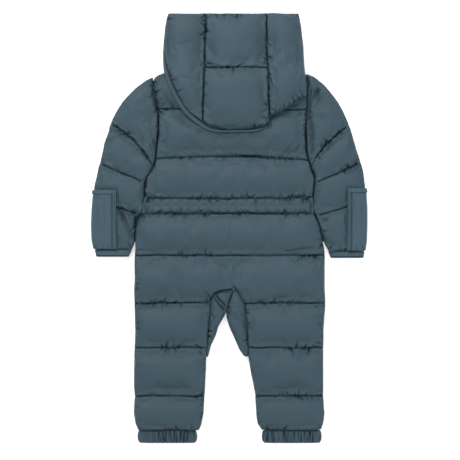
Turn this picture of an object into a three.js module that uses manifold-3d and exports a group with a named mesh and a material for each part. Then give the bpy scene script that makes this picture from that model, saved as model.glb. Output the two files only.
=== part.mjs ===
import * as THREE from "three";
import { mergeVertices } from "three/addons/utils/BufferGeometryUtils.js";
import Module from "manifold-3d";

// A baby's quilted snowsuit, size 80, lying front down with its back up and its hood laid up.
// Millimetres, +Y towards the hood, +Z up from the surface that the front lies on.
// The origin is on that surface under the middle of the whole garment.

// Padding: the front half lies on the surface and the back half lies on the front half.
const STITCHED = 2.2; // one padded wall where a quilt line is sewn through it
const FRONT_LOFT = 12; // the front wall, from the surface to its plain inside
const LAYER_GAP = 0.5; // between two walls that lie on each other
const BACK_LEVEL = FRONT_LOFT + LAYER_GAP;
const MIDDLE = FRONT_LOFT + LAYER_GAP / 2;
const BACK_LOFT = 13.5;
const SEAT_LOFT = 15;
const HOOD_LOFT = 15.5;
const SEAM_GAP = 0.45; // between two pieces at a sewn seam
const SIDE_ROUND = 17; // how far in from a side edge a wall reaches its full loft
const FRONT_ROUND = 13; // the same for a front wall
const SIDE_NEAR = [0, 2.5, 8, SIDE_ROUND]; // columns of points near a side edge
const FRONT_SWELL = 16; // what the front wall would swell to if the surface didn't flatten it
const SCALLOP = 1.1; // how far a quilt line draws the side edge in

// Heights of the quilt lines, the same on the back, the front and both legs.
const SHOULDER = 262;
const SHOULDER_RISE = 13; // how far the back's top edge rises from the shoulder point to the collar
const SHOULDER_SQUARE = 14; // power that keeps the rise close to the shoulder point
const YOKE_LINE = 207.5;
const BACK_LINE = 127;
const CASING_TOP = 52.5;
const CASING_BOTTOM = 26.3;
const SEAT_LINE = -47.3;
const THIGH_LINE = -132;
const KNEE_LINE = -209;
const SHIN_LINE = -294.9;
const CUFF_SEAM = -353.5;
const HEM = -377.5;

// Where the rows of points lie across one quilted channel, from one stitch line to the next.
const CHANNEL_STEPS = [0, 0.05, 0.18, 0.5, 0.82, 0.95];
const FRONT_STEPS = [0, 0.07, 0.22, 0.78, 0.93];
const SLEEVE_STEPS = [0, 0.06, 0.2, 0.5, 0.8, 0.94];
const PUFF = 0.58; // power of the sine that rounds a channel

// Body side edges: armhole down to the armpit, then the side seam to the ankle.
const LEFT_SIDE = [
  { y: 264, x: -133.8 },
  { y: 232.8, x: -128.6 },
  { y: 208.2, x: -125 },
  { y: 180.2, x: -121.8 },
  { y: 157.5, x: -122.8 },
  { y: 115.5, x: -130.4 },
  { y: 101.5, x: -133.5 },
  { y: 83, x: -145.2 },
  { y: 53.2, x: -148.4 },
  { y: 32, x: -150.5 },
  { y: 10.8, x: -162.4 },
  { y: -33.2, x: -164.2 },
  { y: -52.5, x: -166.2 },
  { y: -91, x: -165.2 },
  { y: -133, x: -166.2 },
  { y: -178.5, x: -163.8 },
  { y: -210, x: -166.2 },
  { y: -241.5, x: -165.7 },
  { y: -266, x: -167.3 },
  { y: -295.8, x: -165.4 },
  { y: -322, x: -167 },
  { y: -343, x: -163.6 },
  { y: -353.5, x: -159.2 },
];
const RIGHT_SIDE = [
  { y: 270, x: 136 },
  { y: 217, x: 137.2 },
  { y: 174.1, x: 133.3 },
  { y: 140, x: 134.4 },
  { y: 114.8, x: 140.7 },
  { y: 105, x: 143.5 },
  { y: 93.6, x: 149.1 },
  { y: 68.2, x: 148.1 },
  { y: 34.1, x: 147 },
  { y: 8.8, x: 155.6 },
  { y: -31.5, x: 166.1 },
  { y: -49, x: 168.5 },
  { y: -91, x: 166.6 },
  { y: -133, x: 169.1 },
  { y: -178.5, x: 164.8 },
  { y: -211.8, x: 165.9 },
  { y: -248.5, x: 164.5 },
  { y: -295.8, x: 165.9 },
  { y: -322, x: 166.6 },
  { y: -343, x: 165.2 },
  { y: -353.5, x: 161.9 },
];

// Inner leg edges: the gusset's seam from the crotch peak down, then the leg's own fold.
const LEFT_INSEAM = [
  { y: -132, x: -32.6 },
  { y: -139.7, x: -32.9 },
  { y: -161, x: -35 },
  { y: -183.8, x: -36.9 },
  { y: -210, x: -38.5 },
  { y: -232.8, x: -40.6 },
  { y: -266, x: -42 },
  { y: -295.8, x: -43.8 },
  { y: -327.3, x: -45.2 },
  { y: -344.8, x: -49 },
  { y: -353.5, x: -53.4 },
];
const RIGHT_INSEAM = [
  { y: -132, x: 26 },
  { y: -148.9, x: 29.8 },
  { y: -163.5, x: 31.3 },
  { y: -185.7, x: 32.4 },
  { y: -208.1, x: 34 },
  { y: -228, x: 34.5 },
  { y: -240.6, x: 36.8 },
  { y: -265, x: 40.6 },
  { y: -287, x: 46 },
  { y: -304.5, x: 47.3 },
  { y: -327.3, x: 48.3 },
  { y: -344.8, x: 51.6 },
  { y: -353.5, x: 57.8 },
];
// The row ends of the channel that holds the crotch: down the middle to the peak, then along each gusset
// seam.
const CROTCH_ROWS = [
  { t: 0, middleX: 3, middleY: -47.3 },
  { t: 0.05, middleX: 4.2, middleY: -60 },
  { t: 0.18, middleX: 6.2, middleY: -78 },
  { t: 0.42, middleX: 9, middleY: -99.5 },
  { t: 0.5, middleX: 9.6, middleY: -105.5 },
  { t: 0.66, leftX: -14.9, leftY: -108.4, rightX: 16.6, rightY: -112.9 },
  { t: 0.82, leftX: -25, leftY: -113.8, rightX: 22.9, rightY: -123.4 },
  { t: 0.95, leftX: -30.8, leftY: -122.5, rightX: 25.2, rightY: -128.6 },
];

// Sleeve silhouettes, from the shoulder point to the cuff seam.
const LEFT_SLEEVE_EDGE = [
  { y: 263.5, x: -138 },
  { y: 252, x: -155.8 },
  { y: 241.5, x: -168 },
  { y: 220.5, x: -187.2 },
  { y: 199.5, x: -200.2 },
  { y: 187.2, x: -205.6 },
  { y: 182, x: -207.9 },
  { y: 168, x: -211.8 },
  { y: 147, x: -218.8 },
  { y: 119, x: -225.2 },
  { y: 108.5, x: -228.5 },
  { y: 84, x: -233.6 },
  { y: 63, x: -237 },
  { y: 49.9, x: -238.4 },
  { y: 22.8, x: -240.4 },
  { y: -7, x: -240.8 },
  { y: -28, x: -239.4 },
  { y: -38, x: -236.5 },
];
const RIGHT_SLEEVE_EDGE = [
  { y: 270, x: 139.8 },
  { y: 264, x: 150.5 },
  { y: 252, x: 166.2 },
  { y: 241.5, x: 176.8 },
  { y: 220.5, x: 190.8 },
  { y: 199.5, x: 202.3 },
  { y: 189, x: 207.4 },
  { y: 179.4, x: 210.9 },
  { y: 168, x: 215.2 },
  { y: 147, x: 220.5 },
  { y: 126, x: 227.5 },
  { y: 113.8, x: 231.7 },
  { y: 103.2, x: 234.6 },
  { y: 82.2, x: 237 },
  { y: 61.2, x: 239.8 },
  { y: 43.8, x: 241.2 },
  { y: 17.5, x: 241.4 },
  { y: -12.2, x: 241.2 },
  { y: -31.5, x: 240 },
  { y: -41, x: 238.2 },
];
// Sleeve quilt lines: where each meets the silhouette and the edge beside the body, its bow, its mid height
// and the loft of the padding there.
const LEFT_SLEEVE_LINES = [
  { outerY: 263.5, innerY: 116, bowX: 0, bowY: 0, middle: MIDDLE, loft: 12.5 },
  { outerY: 182, innerY: 110, bowX: 4, bowY: 7, middle: MIDDLE, loft: 12.5 },
  { outerY: 113, innerY: 80, bowX: 0, bowY: 0, middle: MIDDLE, loft: 11.5 },
  { outerY: 49.9, innerY: 23, bowX: 0, bowY: 0, middle: 11.5, loft: 10.5 },
  { outerY: -38, innerY: -38, bowX: 0, bowY: 0, middle: 9, loft: 9.5 },
];
const RIGHT_SLEEVE_LINES = [
  { outerY: 270, innerY: 116, bowX: 0, bowY: 0, middle: MIDDLE, loft: 12.5 },
  { outerY: 179.4, innerY: 110, bowX: -4, bowY: 5, middle: MIDDLE, loft: 12.5 },
  { outerY: 113.8, innerY: 79, bowX: 0, bowY: 0, middle: MIDDLE, loft: 11.5 },
  { outerY: 47, innerY: 21, bowX: 0, bowY: 0, middle: 11.5, loft: 10.5 },
  { outerY: -41, innerY: -41, bowX: 0, bowY: 0, middle: 9, loft: 9.5 },
];
const ARMPIT = 100;
const SLEEVE_CLEARANCE = 1.6; // between a sleeve and the body side that it lies beside
const ARMHOLE_GAP = 1.5; // the armhole is curved, so its straight-faced sides need a little more than a seam
const SLOT_INSET = 4; // from a sleeve's fold to its flattened hollow
const FOLD_ROUND = 4.5; // radius of a stitched fold
const WRIST = { y: -24, slope: 0.34 }; // below this height the edge beside the body tapers to the cuff
const FOREARM_RISE = 4.2; // the forearm clears the surface by the flap that passes under it

// Fold-over mitts: a plain flap on each forearm, from the silhouette to its bound edge.
const MITT_WALL = 1.6;
const MITT_CLEARANCE = 0.4;
const LEFT_MITT = { top: 66.5, bottom: -36.6, bound: -197.2, side: -1 };
const RIGHT_MITT = { top: 69.5, bottom: -39.6, bound: 206.8, side: 1 };
const BINDING_WIDTH = 6.6;
const BINDING_WALL = 1.3;

// Sleeve ends and leg ends.
const LEFT_SLEEVE_CUFF = { left: -235.4, right: -171.2, top: -38.5, bottom: -50, tapers: [2.4, 5.4] };
const RIGHT_SLEEVE_CUFF = { left: 174.8, right: 237.6, top: -41.5, bottom: -52, tapers: [4, 1.6] };
const SLEEVE_CUFF_HALF = 4;
const SLEEVE_CUFF_WALL = 2.4;
const END_MIDDLE = 9; // mid height of the sleeve ends and leg ends
const LEFT_ANKLE = { left: -161, right: -55.6 };
const RIGHT_ANKLE = { left: 57.4, right: 163.2 };
const ANKLE_HALF = 8.2; // half the height of a gathered leg end
const ANKLE_WALL = 3.4;
const ANKLE_TOP = CUFF_SEAM - 1.5;
const ANKLE_GATHERS = 11; // on each face
const CASING_GATHERS = 18;
const CASING_WAVE = 0.55; // height of a gather's ridge, half as much as its trough
const CASING_ENDS = 16; // the gathers fade over one part in this many at each end

// Hood: the face side on the surface, the three back panels over it and over the shoulders.
const HOOD_TOP = 376.2;
const HOOD_CROSS = 279.5;
const HOOD_ROUND = 30;
const RAMP_HIGH = 303; // the hood lies low above this height and on the shoulders below RAMP_LOW
const RAMP_LOW = 270;
const HOOD_ON_BACK = 27.2;
const HOOD_LEFT_EDGE = [
  { y: 376.2, x: -106 },
  { y: 368, x: -109 },
  { y: 348.2, x: -112.4 },
  { y: 323.8, x: -114.8 },
  { y: 311.5, x: -115.4 },
];
const HOOD_RIGHT_EDGE = [
  { y: 376.2, x: 121.4 },
  { y: 368, x: 123.6 },
  { y: 348.2, x: 127 },
  { y: 323.8, x: 129.2 },
  { y: 292.2, x: 131 },
  { y: 274.8, x: 132 },
  { y: 252, x: 134 },
  { y: 229.3, x: 134.8 },
];
// The two seams of the hood's middle panel, straight above and below the cross quilt line.
const HOOD_SEAMS = {
  left: { top: -41.4, cross: -42.6, low: -46 },
  right: { top: 65.7, cross: 67.8, low: 71 },
};
const HOOD_LOW = 184;
// The bound lower edge: its middle line, and half its width.
const HOOD_RIM = [
  { x: -114.6, y: 311, half: 1.3 },
  { x: -113.6, y: 297.5, half: 2.2 },
  { x: -111, y: 276.5, half: 3.2 },
  { x: -104.5, y: 255.5, half: 3.9 },
  { x: -95.5, y: 235.4, half: 4 },
  { x: -80.8, y: 210, half: 4 },
  { x: -63.5, y: 192, half: 4 },
  { x: -44.5, y: 177.6, half: 3.4 },
  { x: -36, y: 172.6, half: 2.6 },
  { x: -24.5, y: 169.4, half: 2.2 },
  { x: 5.2, y: 168.6, half: 2.1 },
  { x: 36.8, y: 169.4, half: 2.1 },
  { x: 57.8, y: 171.8, half: 2.1 },
  { x: 68.8, y: 175.6, half: 2.1 },
  { x: 74, y: 183.5, half: 1.9 },
];
const RIM_CORNER = 7; // the row of HOOD_RIM where the left panel ends and the middle one starts
const RIM_LEFT_LOW = 5; // the row where the left panel's side edge turns into its lower edge
const RIM_HEIGHT = 3.6;
const GATHERED_EDGE = [
  { x: 75.4, y: 192.5 },
  { x: 94.5, y: 203.4 },
  { x: 110.3, y: 214 },
  { x: 123.6, y: 224 },
  { x: 135, y: 228.6 },
];
const HOOD_GATHERS = 6;
const HOOD_EDGE = 2.6; // thickness of a hood panel at its seams
const HOOD_WAVE = 0.6; // height of a gather's ridge, half as much as its trough
const HOOD_WAVE_AT_EDGE = 0.7;
const FACE = { x: 9, y: 326, halfWidth: 50, halfHeight: 31 };
const NECK_LEFT = 273;
const NECK_MIDDLE = 262;
const NECK_POINT = 248.5; // top of the fronts beside the zip

// Front zip: tape and chain down the centre front, with its slider at the neck.
const ZIP = { x: 3, top: 238, bottom: -101 };
const TAPE = { half: 12.5, low: 9.3, high: 10.5 };
const CHAIN = { half: 3, low: 7 };
const ZIP_EDGE = 13.3; // from the zip's centre line to the front panels
const SLIDER = { y: 219, half: 7, wide: 4.9, low: 4.4, cheek: 3.4, high: 9 };
const BRIDGE = { half: 5.8, post: 1.2, wide: 1.2, low: 1, bar: 1.1 };
const PULL = { axis: 3.2, pin: 0.62, arm: 1.75, wide: 3.7, thick: 1.3, window: 8, length: 31 };

const CLOTH = 0x495c66;
const CLOTH_DARK = 0x3a4b54;
const BINDING = 0x52707c;
const METAL = 0x3c4245;

const { lerp, clamp } = THREE.MathUtils;
const wasm = await Module();
wasm.setup();

const suit = new THREE.Group();

function add(name, geometry, color = CLOTH, roughness = 0.72, metalness = 0) {
  const material = new THREE.MeshStandardMaterial({ color, roughness, metalness });
  const mesh = new THREE.Mesh(geometry, material);
  mesh.name = name;
  suit.add(mesh);
}

// A smooth curve through a table: column `value` against column `key`.
function along(table, key, value) {
  const rows = [...table].sort((a, b) => a[key] - b[key]);
  const last = rows.length - 1;
  const slopes = rows.map((row, i) => {
    const before = rows[Math.max(i - 1, 0)];
    const after = rows[Math.min(i + 1, last)];
    return (after[value] - before[value]) / (after[key] - before[key]);
  });
  return (at) => {
    const next = rows.findIndex((row) => row[key] > at);
    const i = clamp(next < 0 ? last - 1 : next - 1, 0, last - 1);
    const span = rows[i + 1][key] - rows[i][key];
    const s = clamp((at - rows[i][key]) / span, 0, 1);
    const s2 = s * s;
    const s3 = s2 * s;
    return (
      (2 * s3 - 3 * s2 + 1) * rows[i][value] +
      (s3 - 2 * s2 + s) * span * slopes[i] +
      (3 * s2 - 2 * s3) * rows[i + 1][value] +
      (s3 - s2) * span * slopes[i + 1]
    );
  };
}

// Rises from 0 at an edge to 1 at the given distance, round like a quarter circle.
function rounded(distance, radius) {
  const s = clamp(1 - distance / radius, 0, 1);
  return Math.sqrt(1 - s * s);
}

// How full a channel is at t between its two stitch lines.
const puff = (t) => Math.pow(Math.sin(Math.PI * clamp(t, 0, 1)), PUFF);

// The faces of one closed body, gathered by place so that faces that meet share their corners.
class Body {
  constructor() {
    this.places = [];
    this.known = new Map();
    this.faces = [];
  }
  corner([x, y, z]) {
    const key = [x, y, z].map((value) => Math.round(value * 1000)).join();
    if (!this.known.has(key)) {
      this.known.set(key, this.places.length);
      this.places.push([x, y, z]);
    }
    return this.known.get(key);
  }
  triangle(a, b, c) {
    if (a !== b && b !== c && c !== a) this.faces.push([a, b, c]);
  }
  quad(a, b, c, d) {
    this.triangle(a, b, c);
    this.triangle(a, c, d);
  }
  // Directed edges that only one face uses.
  openEdges() {
    const used = new Map();
    for (const face of this.faces) {
      face.forEach((from, i) => used.set(from + "," + face[(i + 1) % 3], [from, face[(i + 1) % 3]]));
    }
    return [...used.values()].filter(([from, to]) => !used.has(to + "," + from));
  }
  geometry() {
    let volume = 0;
    for (const [a, b, c] of this.faces.map((face) => face.map((i) => this.places[i]))) {
      volume += new THREE.Vector3(...a).dot(new THREE.Vector3(...b).cross(new THREE.Vector3(...c)));
    }
    const faces = volume < 0 ? this.faces.map(([a, b, c]) => [a, c, b]) : this.faces;
    const made = new THREE.BufferGeometry();
    made.setAttribute("position", new THREE.Float32BufferAttribute(this.places.flat(), 3));
    made.setIndex(faces.flat());
    return made;
  }
}

// Faces that close a body between two rings of as many points.
function joinRings(body, a, b) {
  a.forEach((point, j) => {
    const k = (j + 1) % a.length;
    body.quad(body.corner(a[k]), body.corner(b[k]), body.corner(b[j]), body.corner(point));
  });
}

// A grid's quads, laid into a body; a row of points runs across, and rows follow each other.
function layGrid(body, rows, round = false) {
  const index = rows.map((row) => row.map((point) => body.corner(point)));
  for (let i = 0; i + 1 < index.length; i++) {
    const count = index[i].length;
    for (let j = 0; j < (round ? count : count - 1); j++) {
      const k = (j + 1) % count;
      body.quad(index[i][j], index[i + 1][j], index[i + 1][k], index[i][k]);
    }
  }
}

// A padded wall with a plain flat inside at `level`; `up` is 1 for a back wall and -1 for a front wall.
// Each grid is a list of rows of {x, y, height}, and the grids meet where their edge points are the same.
function flatLinedWall(grids, level, up) {
  const body = new Body();
  for (const grid of grids) {
    layGrid(body, grid.map((row) => row.map(({ x, y, height }) => [x, y, level + up * height])));
  }
  if (up < 0) {
    for (const row of body.places) row[2] = Math.max(row[2], 0);
  }
  const edges = new Map(body.openEdges());
  const loop = [];
  for (let at = edges.keys().next().value; edges.has(at); ) {
    loop.push(at);
    const next = edges.get(at);
    edges.delete(at);
    at = next;
  }
  const outline = loop.map((i) => new THREE.Vector2(body.places[i][0], body.places[i][1]));
  const inside = loop.map((i) => body.corner([body.places[i][0], body.places[i][1], level]));
  loop.forEach((from, i) => {
    const k = (i + 1) % loop.length;
    body.quad(loop[k], from, inside[i], inside[k]);
  });
  for (const [a, b, c] of THREE.ShapeUtils.triangulateShape(outline, [])) {
    const ab = outline[b].clone().sub(outline[a]);
    const ac = outline[c].clone().sub(outline[a]);
    if (ab.cross(ac) > 0) body.triangle(inside[a], inside[c], inside[b]);
    else body.triangle(inside[a], inside[b], inside[c]);
  }
  return body.geometry();
}

// A wall between two open grids of the same size, with a rim all round them.
function wallBetween(outer, inner) {
  const body = new Body();
  layGrid(body, outer);
  layGrid(body, [...inner].reverse());
  const border = (grid) => [
    ...grid[0],
    ...grid.slice(1, -1).map((row) => row.at(-1)),
    ...[...grid.at(-1)].reverse(),
    ...grid.slice(1, -1).map((row) => row[0]).reverse(),
  ];
  joinRings(body, border(outer), border(inner));
  return body.geometry();
}

// A tube with an outside and a hollow in rings; both ends are open and the rims are flat.
function tubeBetween(outer, inner) {
  const body = new Body();
  layGrid(body, outer, true);
  layGrid(body, [...inner].reverse(), true);
  joinRings(body, outer[0], inner[0]);
  joinRings(body, [...outer.at(-1)].reverse(), [...inner.at(-1)].reverse());
  return body.geometry();
}

// A solid through rings of points, with flat ends.
function throughRings(rings) {
  const body = new Body();
  layGrid(body, rings, true);
  const cap = (ring, turned) => {
    const index = ring.map((point) => body.corner(point));
    for (let i = 1; i + 1 < index.length; i++) {
      if (turned) body.triangle(index[0], index[i + 1], index[i]);
      else body.triangle(index[0], index[i], index[i + 1]);
    }
  };
  cap(rings[0], false);
  cap(rings.at(-1), true);
  return body.geometry();
}

// Places across a row: close together at both edges, then evenly spaced.
function acrossRow(width, near, middle) {
  const scale = Math.min(1, width / (2.3 * near.at(-1)));
  const left = near.map((distance) => (distance * scale) / width);
  const right = left.map((u) => 1 - u).reverse();
  const gap = (right[0] - left.at(-1)) / (middle + 1);
  const between = Array.from({ length: middle }, (_, i) => left.at(-1) + gap * (i + 1));
  return [...left, ...between, ...right];
}

// Rows of points between stitch lines. `side(k, t)` gives a row's end points, `line(k, u)` a stitch line's
// points, and each row is the blend of its two lines, moved to meet its own ends.
function quiltRows({ channels, steps, left, right, line, near, middle }) {
  const rows = [];
  for (let k = 0; k < channels; k++) {
    const ts = steps(k);
    for (const t of k === channels - 1 ? [...ts, 1] : ts) {
      const from = left(k, t);
      const to = right(k, t);
      const width = Math.hypot(to.x - from.x, to.y - from.y);
      const blend = (u) => ({
        x: lerp(line(k, u).x, line(k + 1, u).x, t),
        y: lerp(line(k, u).y, line(k + 1, u).y, t),
      });
      const start = blend(0);
      const end = blend(1);
      const points = acrossRow(width, near, middle).map((u) => {
        const between = blend(u);
        const place = {
          x: between.x + (1 - u) * (from.x - start.x) + u * (to.x - end.x),
          y: between.y + (1 - u) * (from.y - start.y) + u * (to.y - end.y),
        };
        const { x, y } = u === 0 ? from : u === 1 ? to : place;
        return { u, x, y, fromLeft: u * width, fromRight: (1 - u) * width };
      });
      rows.push({ k, t, width, points });
    }
  }
  return rows;
}

// The shape of a bow, from 0 at both ends to 1 in the middle.
const bowed = (u) => 4 * u * (1 - u);

// A table of stitch lines as a function of the place across, between two edges.
function straightLines(table, leftX, rightX) {
  return (k, u) => {
    const { left, right, bow } = table[k];
    return { x: lerp(leftX(left), rightX(right), u), y: lerp(left, right, u) + bow * bowed(u) };
  };
}

function rowEnd(table, column, edgeX, inward) {
  return (k, t) => {
    const y = lerp(table[k][column], table[k + 1][column], t);
    return { x: edgeX(y) + inward * SCALLOP * (1 - puff(t)), y };
  };
}

const leftSide = along(LEFT_SIDE, "y", "x");
const rightSide = along(RIGHT_SIDE, "y", "x");

// Back of the body above the waist: three channels under and below the hood.
{
  const lines = [
    { left: SHOULDER - 2, right: SHOULDER + 6, bow: 0 },
    { left: YOKE_LINE + 2, right: YOKE_LINE, bow: -1.5 },
    { left: BACK_LINE - 6, right: BACK_LINE - 8, bow: 5 },
    { left: CASING_TOP + SEAM_GAP, right: CASING_TOP + SEAM_GAP, bow: -1.2 },
  ];
  const loft = [BACK_LOFT - 1, BACK_LOFT, SEAT_LOFT];
  const straight = straightLines(lines, leftSide, rightSide);
  const shoulders = (u) => {
    const { x, y } = straight(0, u);
    return { x, y: y + SHOULDER_RISE * (1 - Math.pow(2 * u - 1, SHOULDER_SQUARE)) };
  };
  const rows = quiltRows({
    channels: 3,
    steps: () => CHANNEL_STEPS,
    left: rowEnd(lines, "left", leftSide, 1),
    right: rowEnd(lines, "right", rightSide, -1),
    line: (k, u) => (k === 0 ? shoulders(u) : straight(k, u)),
    near: SIDE_NEAR,
    middle: 4,
  });
  const grid = rows.map(({ k, t, points }) =>
    points.map(({ x, y, fromLeft, fromRight }) => {
      const sides = rounded(fromLeft, SIDE_ROUND) * rounded(fromRight, SIDE_ROUND);
      return { x, y, height: STITCHED + (loft[k] - STITCHED) * puff(t) * sides };
    }),
  );
  add("bodice_back", flatLinedWall([grid], BACK_LEVEL, 1));
}

// Elastic casing across the back waist, in shallow gathers.
{
  const lines = [
    { left: CASING_TOP, right: CASING_TOP, bow: -1.2 },
    { left: CASING_BOTTOM, right: CASING_BOTTOM, bow: 0.4 },
  ];
  const columns = CASING_GATHERS * 3 + 1;
  const rows = [
    { t: 0, height: STITCHED + 0.6, swell: 0, gather: 0.5 },
    { t: 0.16, height: STITCHED, swell: 2.4, gather: 1 },
    { t: 0.5, height: STITCHED, swell: 3.8, gather: 0.7 },
    { t: 0.84, height: STITCHED, swell: 2.4, gather: 1 },
    { t: 1, height: STITCHED + 0.6, swell: 0, gather: 0.5 },
  ];
  const line = straightLines(lines, leftSide, rightSide);
  const grid = rows.map(({ t, height, swell, gather }) =>
    Array.from({ length: columns }, (_, j) => {
      const u = j / (columns - 1);
      const above = line(0, u);
      const below = line(1, u);
      const ends = Math.min(1, Math.min(u, 1 - u) * CASING_ENDS);
      const wave = j % 3 === 0 ? -2 * CASING_WAVE : CASING_WAVE;
      return {
        x: lerp(above.x, below.x, t),
        y: lerp(above.y, below.y, t),
        height: height + (swell + wave * gather) * ends,
      };
    }),
  );
  add("waist_casing", flatLinedWall([grid], BACK_LEVEL, 1));
}

// Seat and both back legs in one piece, parted by the crotch gusset.
const trouserLines = [
  { left: CASING_BOTTOM - SEAM_GAP, right: CASING_BOTTOM - SEAM_GAP, bow: -0.6 },
  { left: SEAT_LINE, right: SEAT_LINE, bow: -0.8 },
  { left: THIGH_LINE, right: THIGH_LINE, bow: 0.8 },
  { left: KNEE_LINE, right: KNEE_LINE, bow: -1 },
  { left: SHIN_LINE, right: SHIN_LINE, bow: 1 },
  { left: CUFF_SEAM, right: CUFF_SEAM, bow: -1 },
];
const CROTCH_CHANNEL = 1;
const WAIST_MIDDLE = { x: -1, y: CASING_BOTTOM - SEAM_GAP - 0.5 };
const leftInseam = along(LEFT_INSEAM, "y", "x");
const rightInseam = along(RIGHT_INSEAM, "y", "x");

// The inner end of a back leg's row: on the centre line above the crotch peak, on the inseam below it.
function innerEnd(side) {
  const inseam = side === "left" ? leftInseam : rightInseam;
  return (k, t) => {
    if (k === 0) {
      const { middleX, middleY } = CROTCH_ROWS[0];
      return { x: lerp(WAIST_MIDDLE.x, middleX, t), y: lerp(WAIST_MIDDLE.y, middleY, t) };
    }
    const row = k === CROTCH_CHANNEL && CROTCH_ROWS.find((each) => each.t === t);
    if (row && "middleX" in row) return { x: row.middleX, y: row.middleY };
    if (row) return { x: row[side + "X"], y: row[side + "Y"] };
    const y = lerp(trouserLines[k].left, trouserLines[k + 1].left, t);
    return { x: inseam(y), y };
  };
}

function legRows(side) {
  const inner = innerEnd(side);
  const isLeft = side === "left";
  const outer = isLeft
    ? rowEnd(trouserLines, "left", leftSide, 1)
    : rowEnd(trouserLines, "right", rightSide, -1);
  const lineEnds = (k) => {
    const last = k === trouserLines.length - 1;
    const ends = [outer(last ? k - 1 : k, last ? 1 : 0), inner(last ? k - 1 : k, last ? 1 : 0)];
    return isLeft ? ends : ends.reverse();
  };
  return quiltRows({
    channels: trouserLines.length - 1,
    steps: (k) => (k === CROTCH_CHANNEL ? CROTCH_ROWS.map((row) => row.t) : CHANNEL_STEPS),
    left: isLeft ? outer : inner,
    right: isLeft ? inner : outer,
    line: (k, u) => {
      const [from, to] = lineEnds(k);
      const bow = trouserLines[k].bow * bowed(u);
      return { x: lerp(from.x, to.x, u), y: lerp(from.y, to.y, u) + bow };
    },
    near: SIDE_NEAR,
    middle: 2,
  });
}

const trouserLoft = [SEAT_LOFT, SEAT_LOFT + 1, SEAT_LOFT - 0.5, SEAT_LOFT - 1, SEAT_LOFT - 2];
const legs = { left: legRows("left"), right: legRows("right") };
const isParted = ({ k, t }) => k > CROTCH_CHANNEL || (k === CROTCH_CHANNEL && t >= 0.5);
{
  const grids = Object.entries(legs).map(([side, rows]) =>
    rows.map((row) =>
      row.points.map(({ x, y, fromLeft, fromRight }) => {
        const [outside, inside] = side === "left" ? [fromLeft, fromRight] : [fromRight, fromLeft];
        const edges = rounded(outside, SIDE_ROUND) * (isParted(row) ? rounded(inside, SIDE_ROUND) : 1);
        return { x, y, height: STITCHED + (trouserLoft[row.k] - STITCHED) * puff(row.t) * edges };
      }),
    ),
  );
  add("trouser_back", flatLinedWall(grids, BACK_LEVEL, 1));
}

// Crotch gusset: two folded padded strips that run from the peak down the inside of each leg, joined at a
// centre seam. Each row starts on the leg panel's own seam point. The table gives its other end, on the
// centre seam above the crotch notch and on the free fold below it.
const LEFT_GUSSET_FOLD = [
  { x: 7.7, y: -109.4 },
  { x: 5, y: -117 },
  { x: 2, y: -125.5 },
  { x: -1, y: -134 },
  { x: -4, y: -142.5 },
  { x: -5.8, y: -147.6 },
  { x: -9, y: -154.5 },
  { x: -20, y: -173 },
  { x: -27.6, y: -196 },
  { x: -32.4, y: -205.6 },
  { x: -33.6, y: -210.4 },
  { x: -35, y: -216 },
  { x: -37.8, y: -226.5 },
];
const RIGHT_GUSSET_FOLD = [
  { x: 8.7, y: -109.8 },
  { x: 5.8, y: -118 },
  { x: 2.2, y: -128 },
  { x: -0.7, y: -136.4 },
  { x: -3, y: -143 },
  { x: -4.5, y: -148 },
  { x: -3.4, y: -156.5 },
  { x: 0.6, y: -171.5 },
  { x: 11.4, y: -195.6 },
  { x: 15.6, y: -205.4 },
  { x: 17.2, y: -209.4 },
  { x: 19.4, y: -213.6 },
  { x: 27.4, y: -225 },
];
const GUSSET_UP = 9; // how high its top face stands over the middle where it is full
const GUSSET_GAP = SEAM_GAP * 1.6; // from the leg panels' curved seams
const GUSSET_FULL_WIDTH = 22; // a strip this wide is full
const GUSSET_ACROSS = [
  { u: 0, up: 0.25, down: 0.3 },
  { u: 0.18, up: 0.72, down: 1 },
  { u: 0.5, up: 1, down: 1 },
  { u: 0.84, up: 0.74, down: 0.9 },
  { u: 1, up: 0.06, down: 0.06 },
];

function gusset(side, fold) {
  const parted = legs[side].filter(isParted).slice(0, fold.length);
  const outward = side === "left" ? 1 : -1;
  const seam = parted.map(({ points }) => (side === "left" ? points.at(-1) : points[0]));
  return throughRings(
    fold.map((end, i) => {
      const before = seam[Math.max(i - 1, 0)];
      const after = seam[Math.min(i + 1, seam.length - 1)];
      const run = Math.hypot(after.x - before.x, after.y - before.y);
      const shift = i ? 0 : 0.15;
      const start = {
        x: lerp(seam[i].x, after.x, shift) - (outward * GUSSET_GAP * (after.y - before.y)) / run,
        y: lerp(seam[i].y, after.y, shift) - GUSSET_GAP * Math.abs((after.x - before.x) / run),
      };
      const width = Math.hypot(end.x - start.x, end.y - start.y);
      const full = Math.min(1, 0.3 + width / GUSSET_FULL_WIDTH) * Math.min(1, 0.45 + i * 0.2);
      const across = GUSSET_ACROSS.map(({ u, up, down }) => ({
        x: lerp(start.x, end.x, u),
        y: lerp(start.y, end.y, u),
        high: MIDDLE + GUSSET_UP * up * full,
        low: Math.max(0, MIDDLE - MIDDLE * down * Math.min(1, full * 1.3)),
      }));
      return [
        ...across.map(({ x, y, high }) => [x, y, high]),
        ...across.map(({ x, y, low }) => [x, y, low]).reverse(),
      ];
    }),
  );
}
add("gusset_left", gusset("left", LEFT_GUSSET_FOLD));
add("gusset_right", gusset("right", RIGHT_GUSSET_FOLD));

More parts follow.
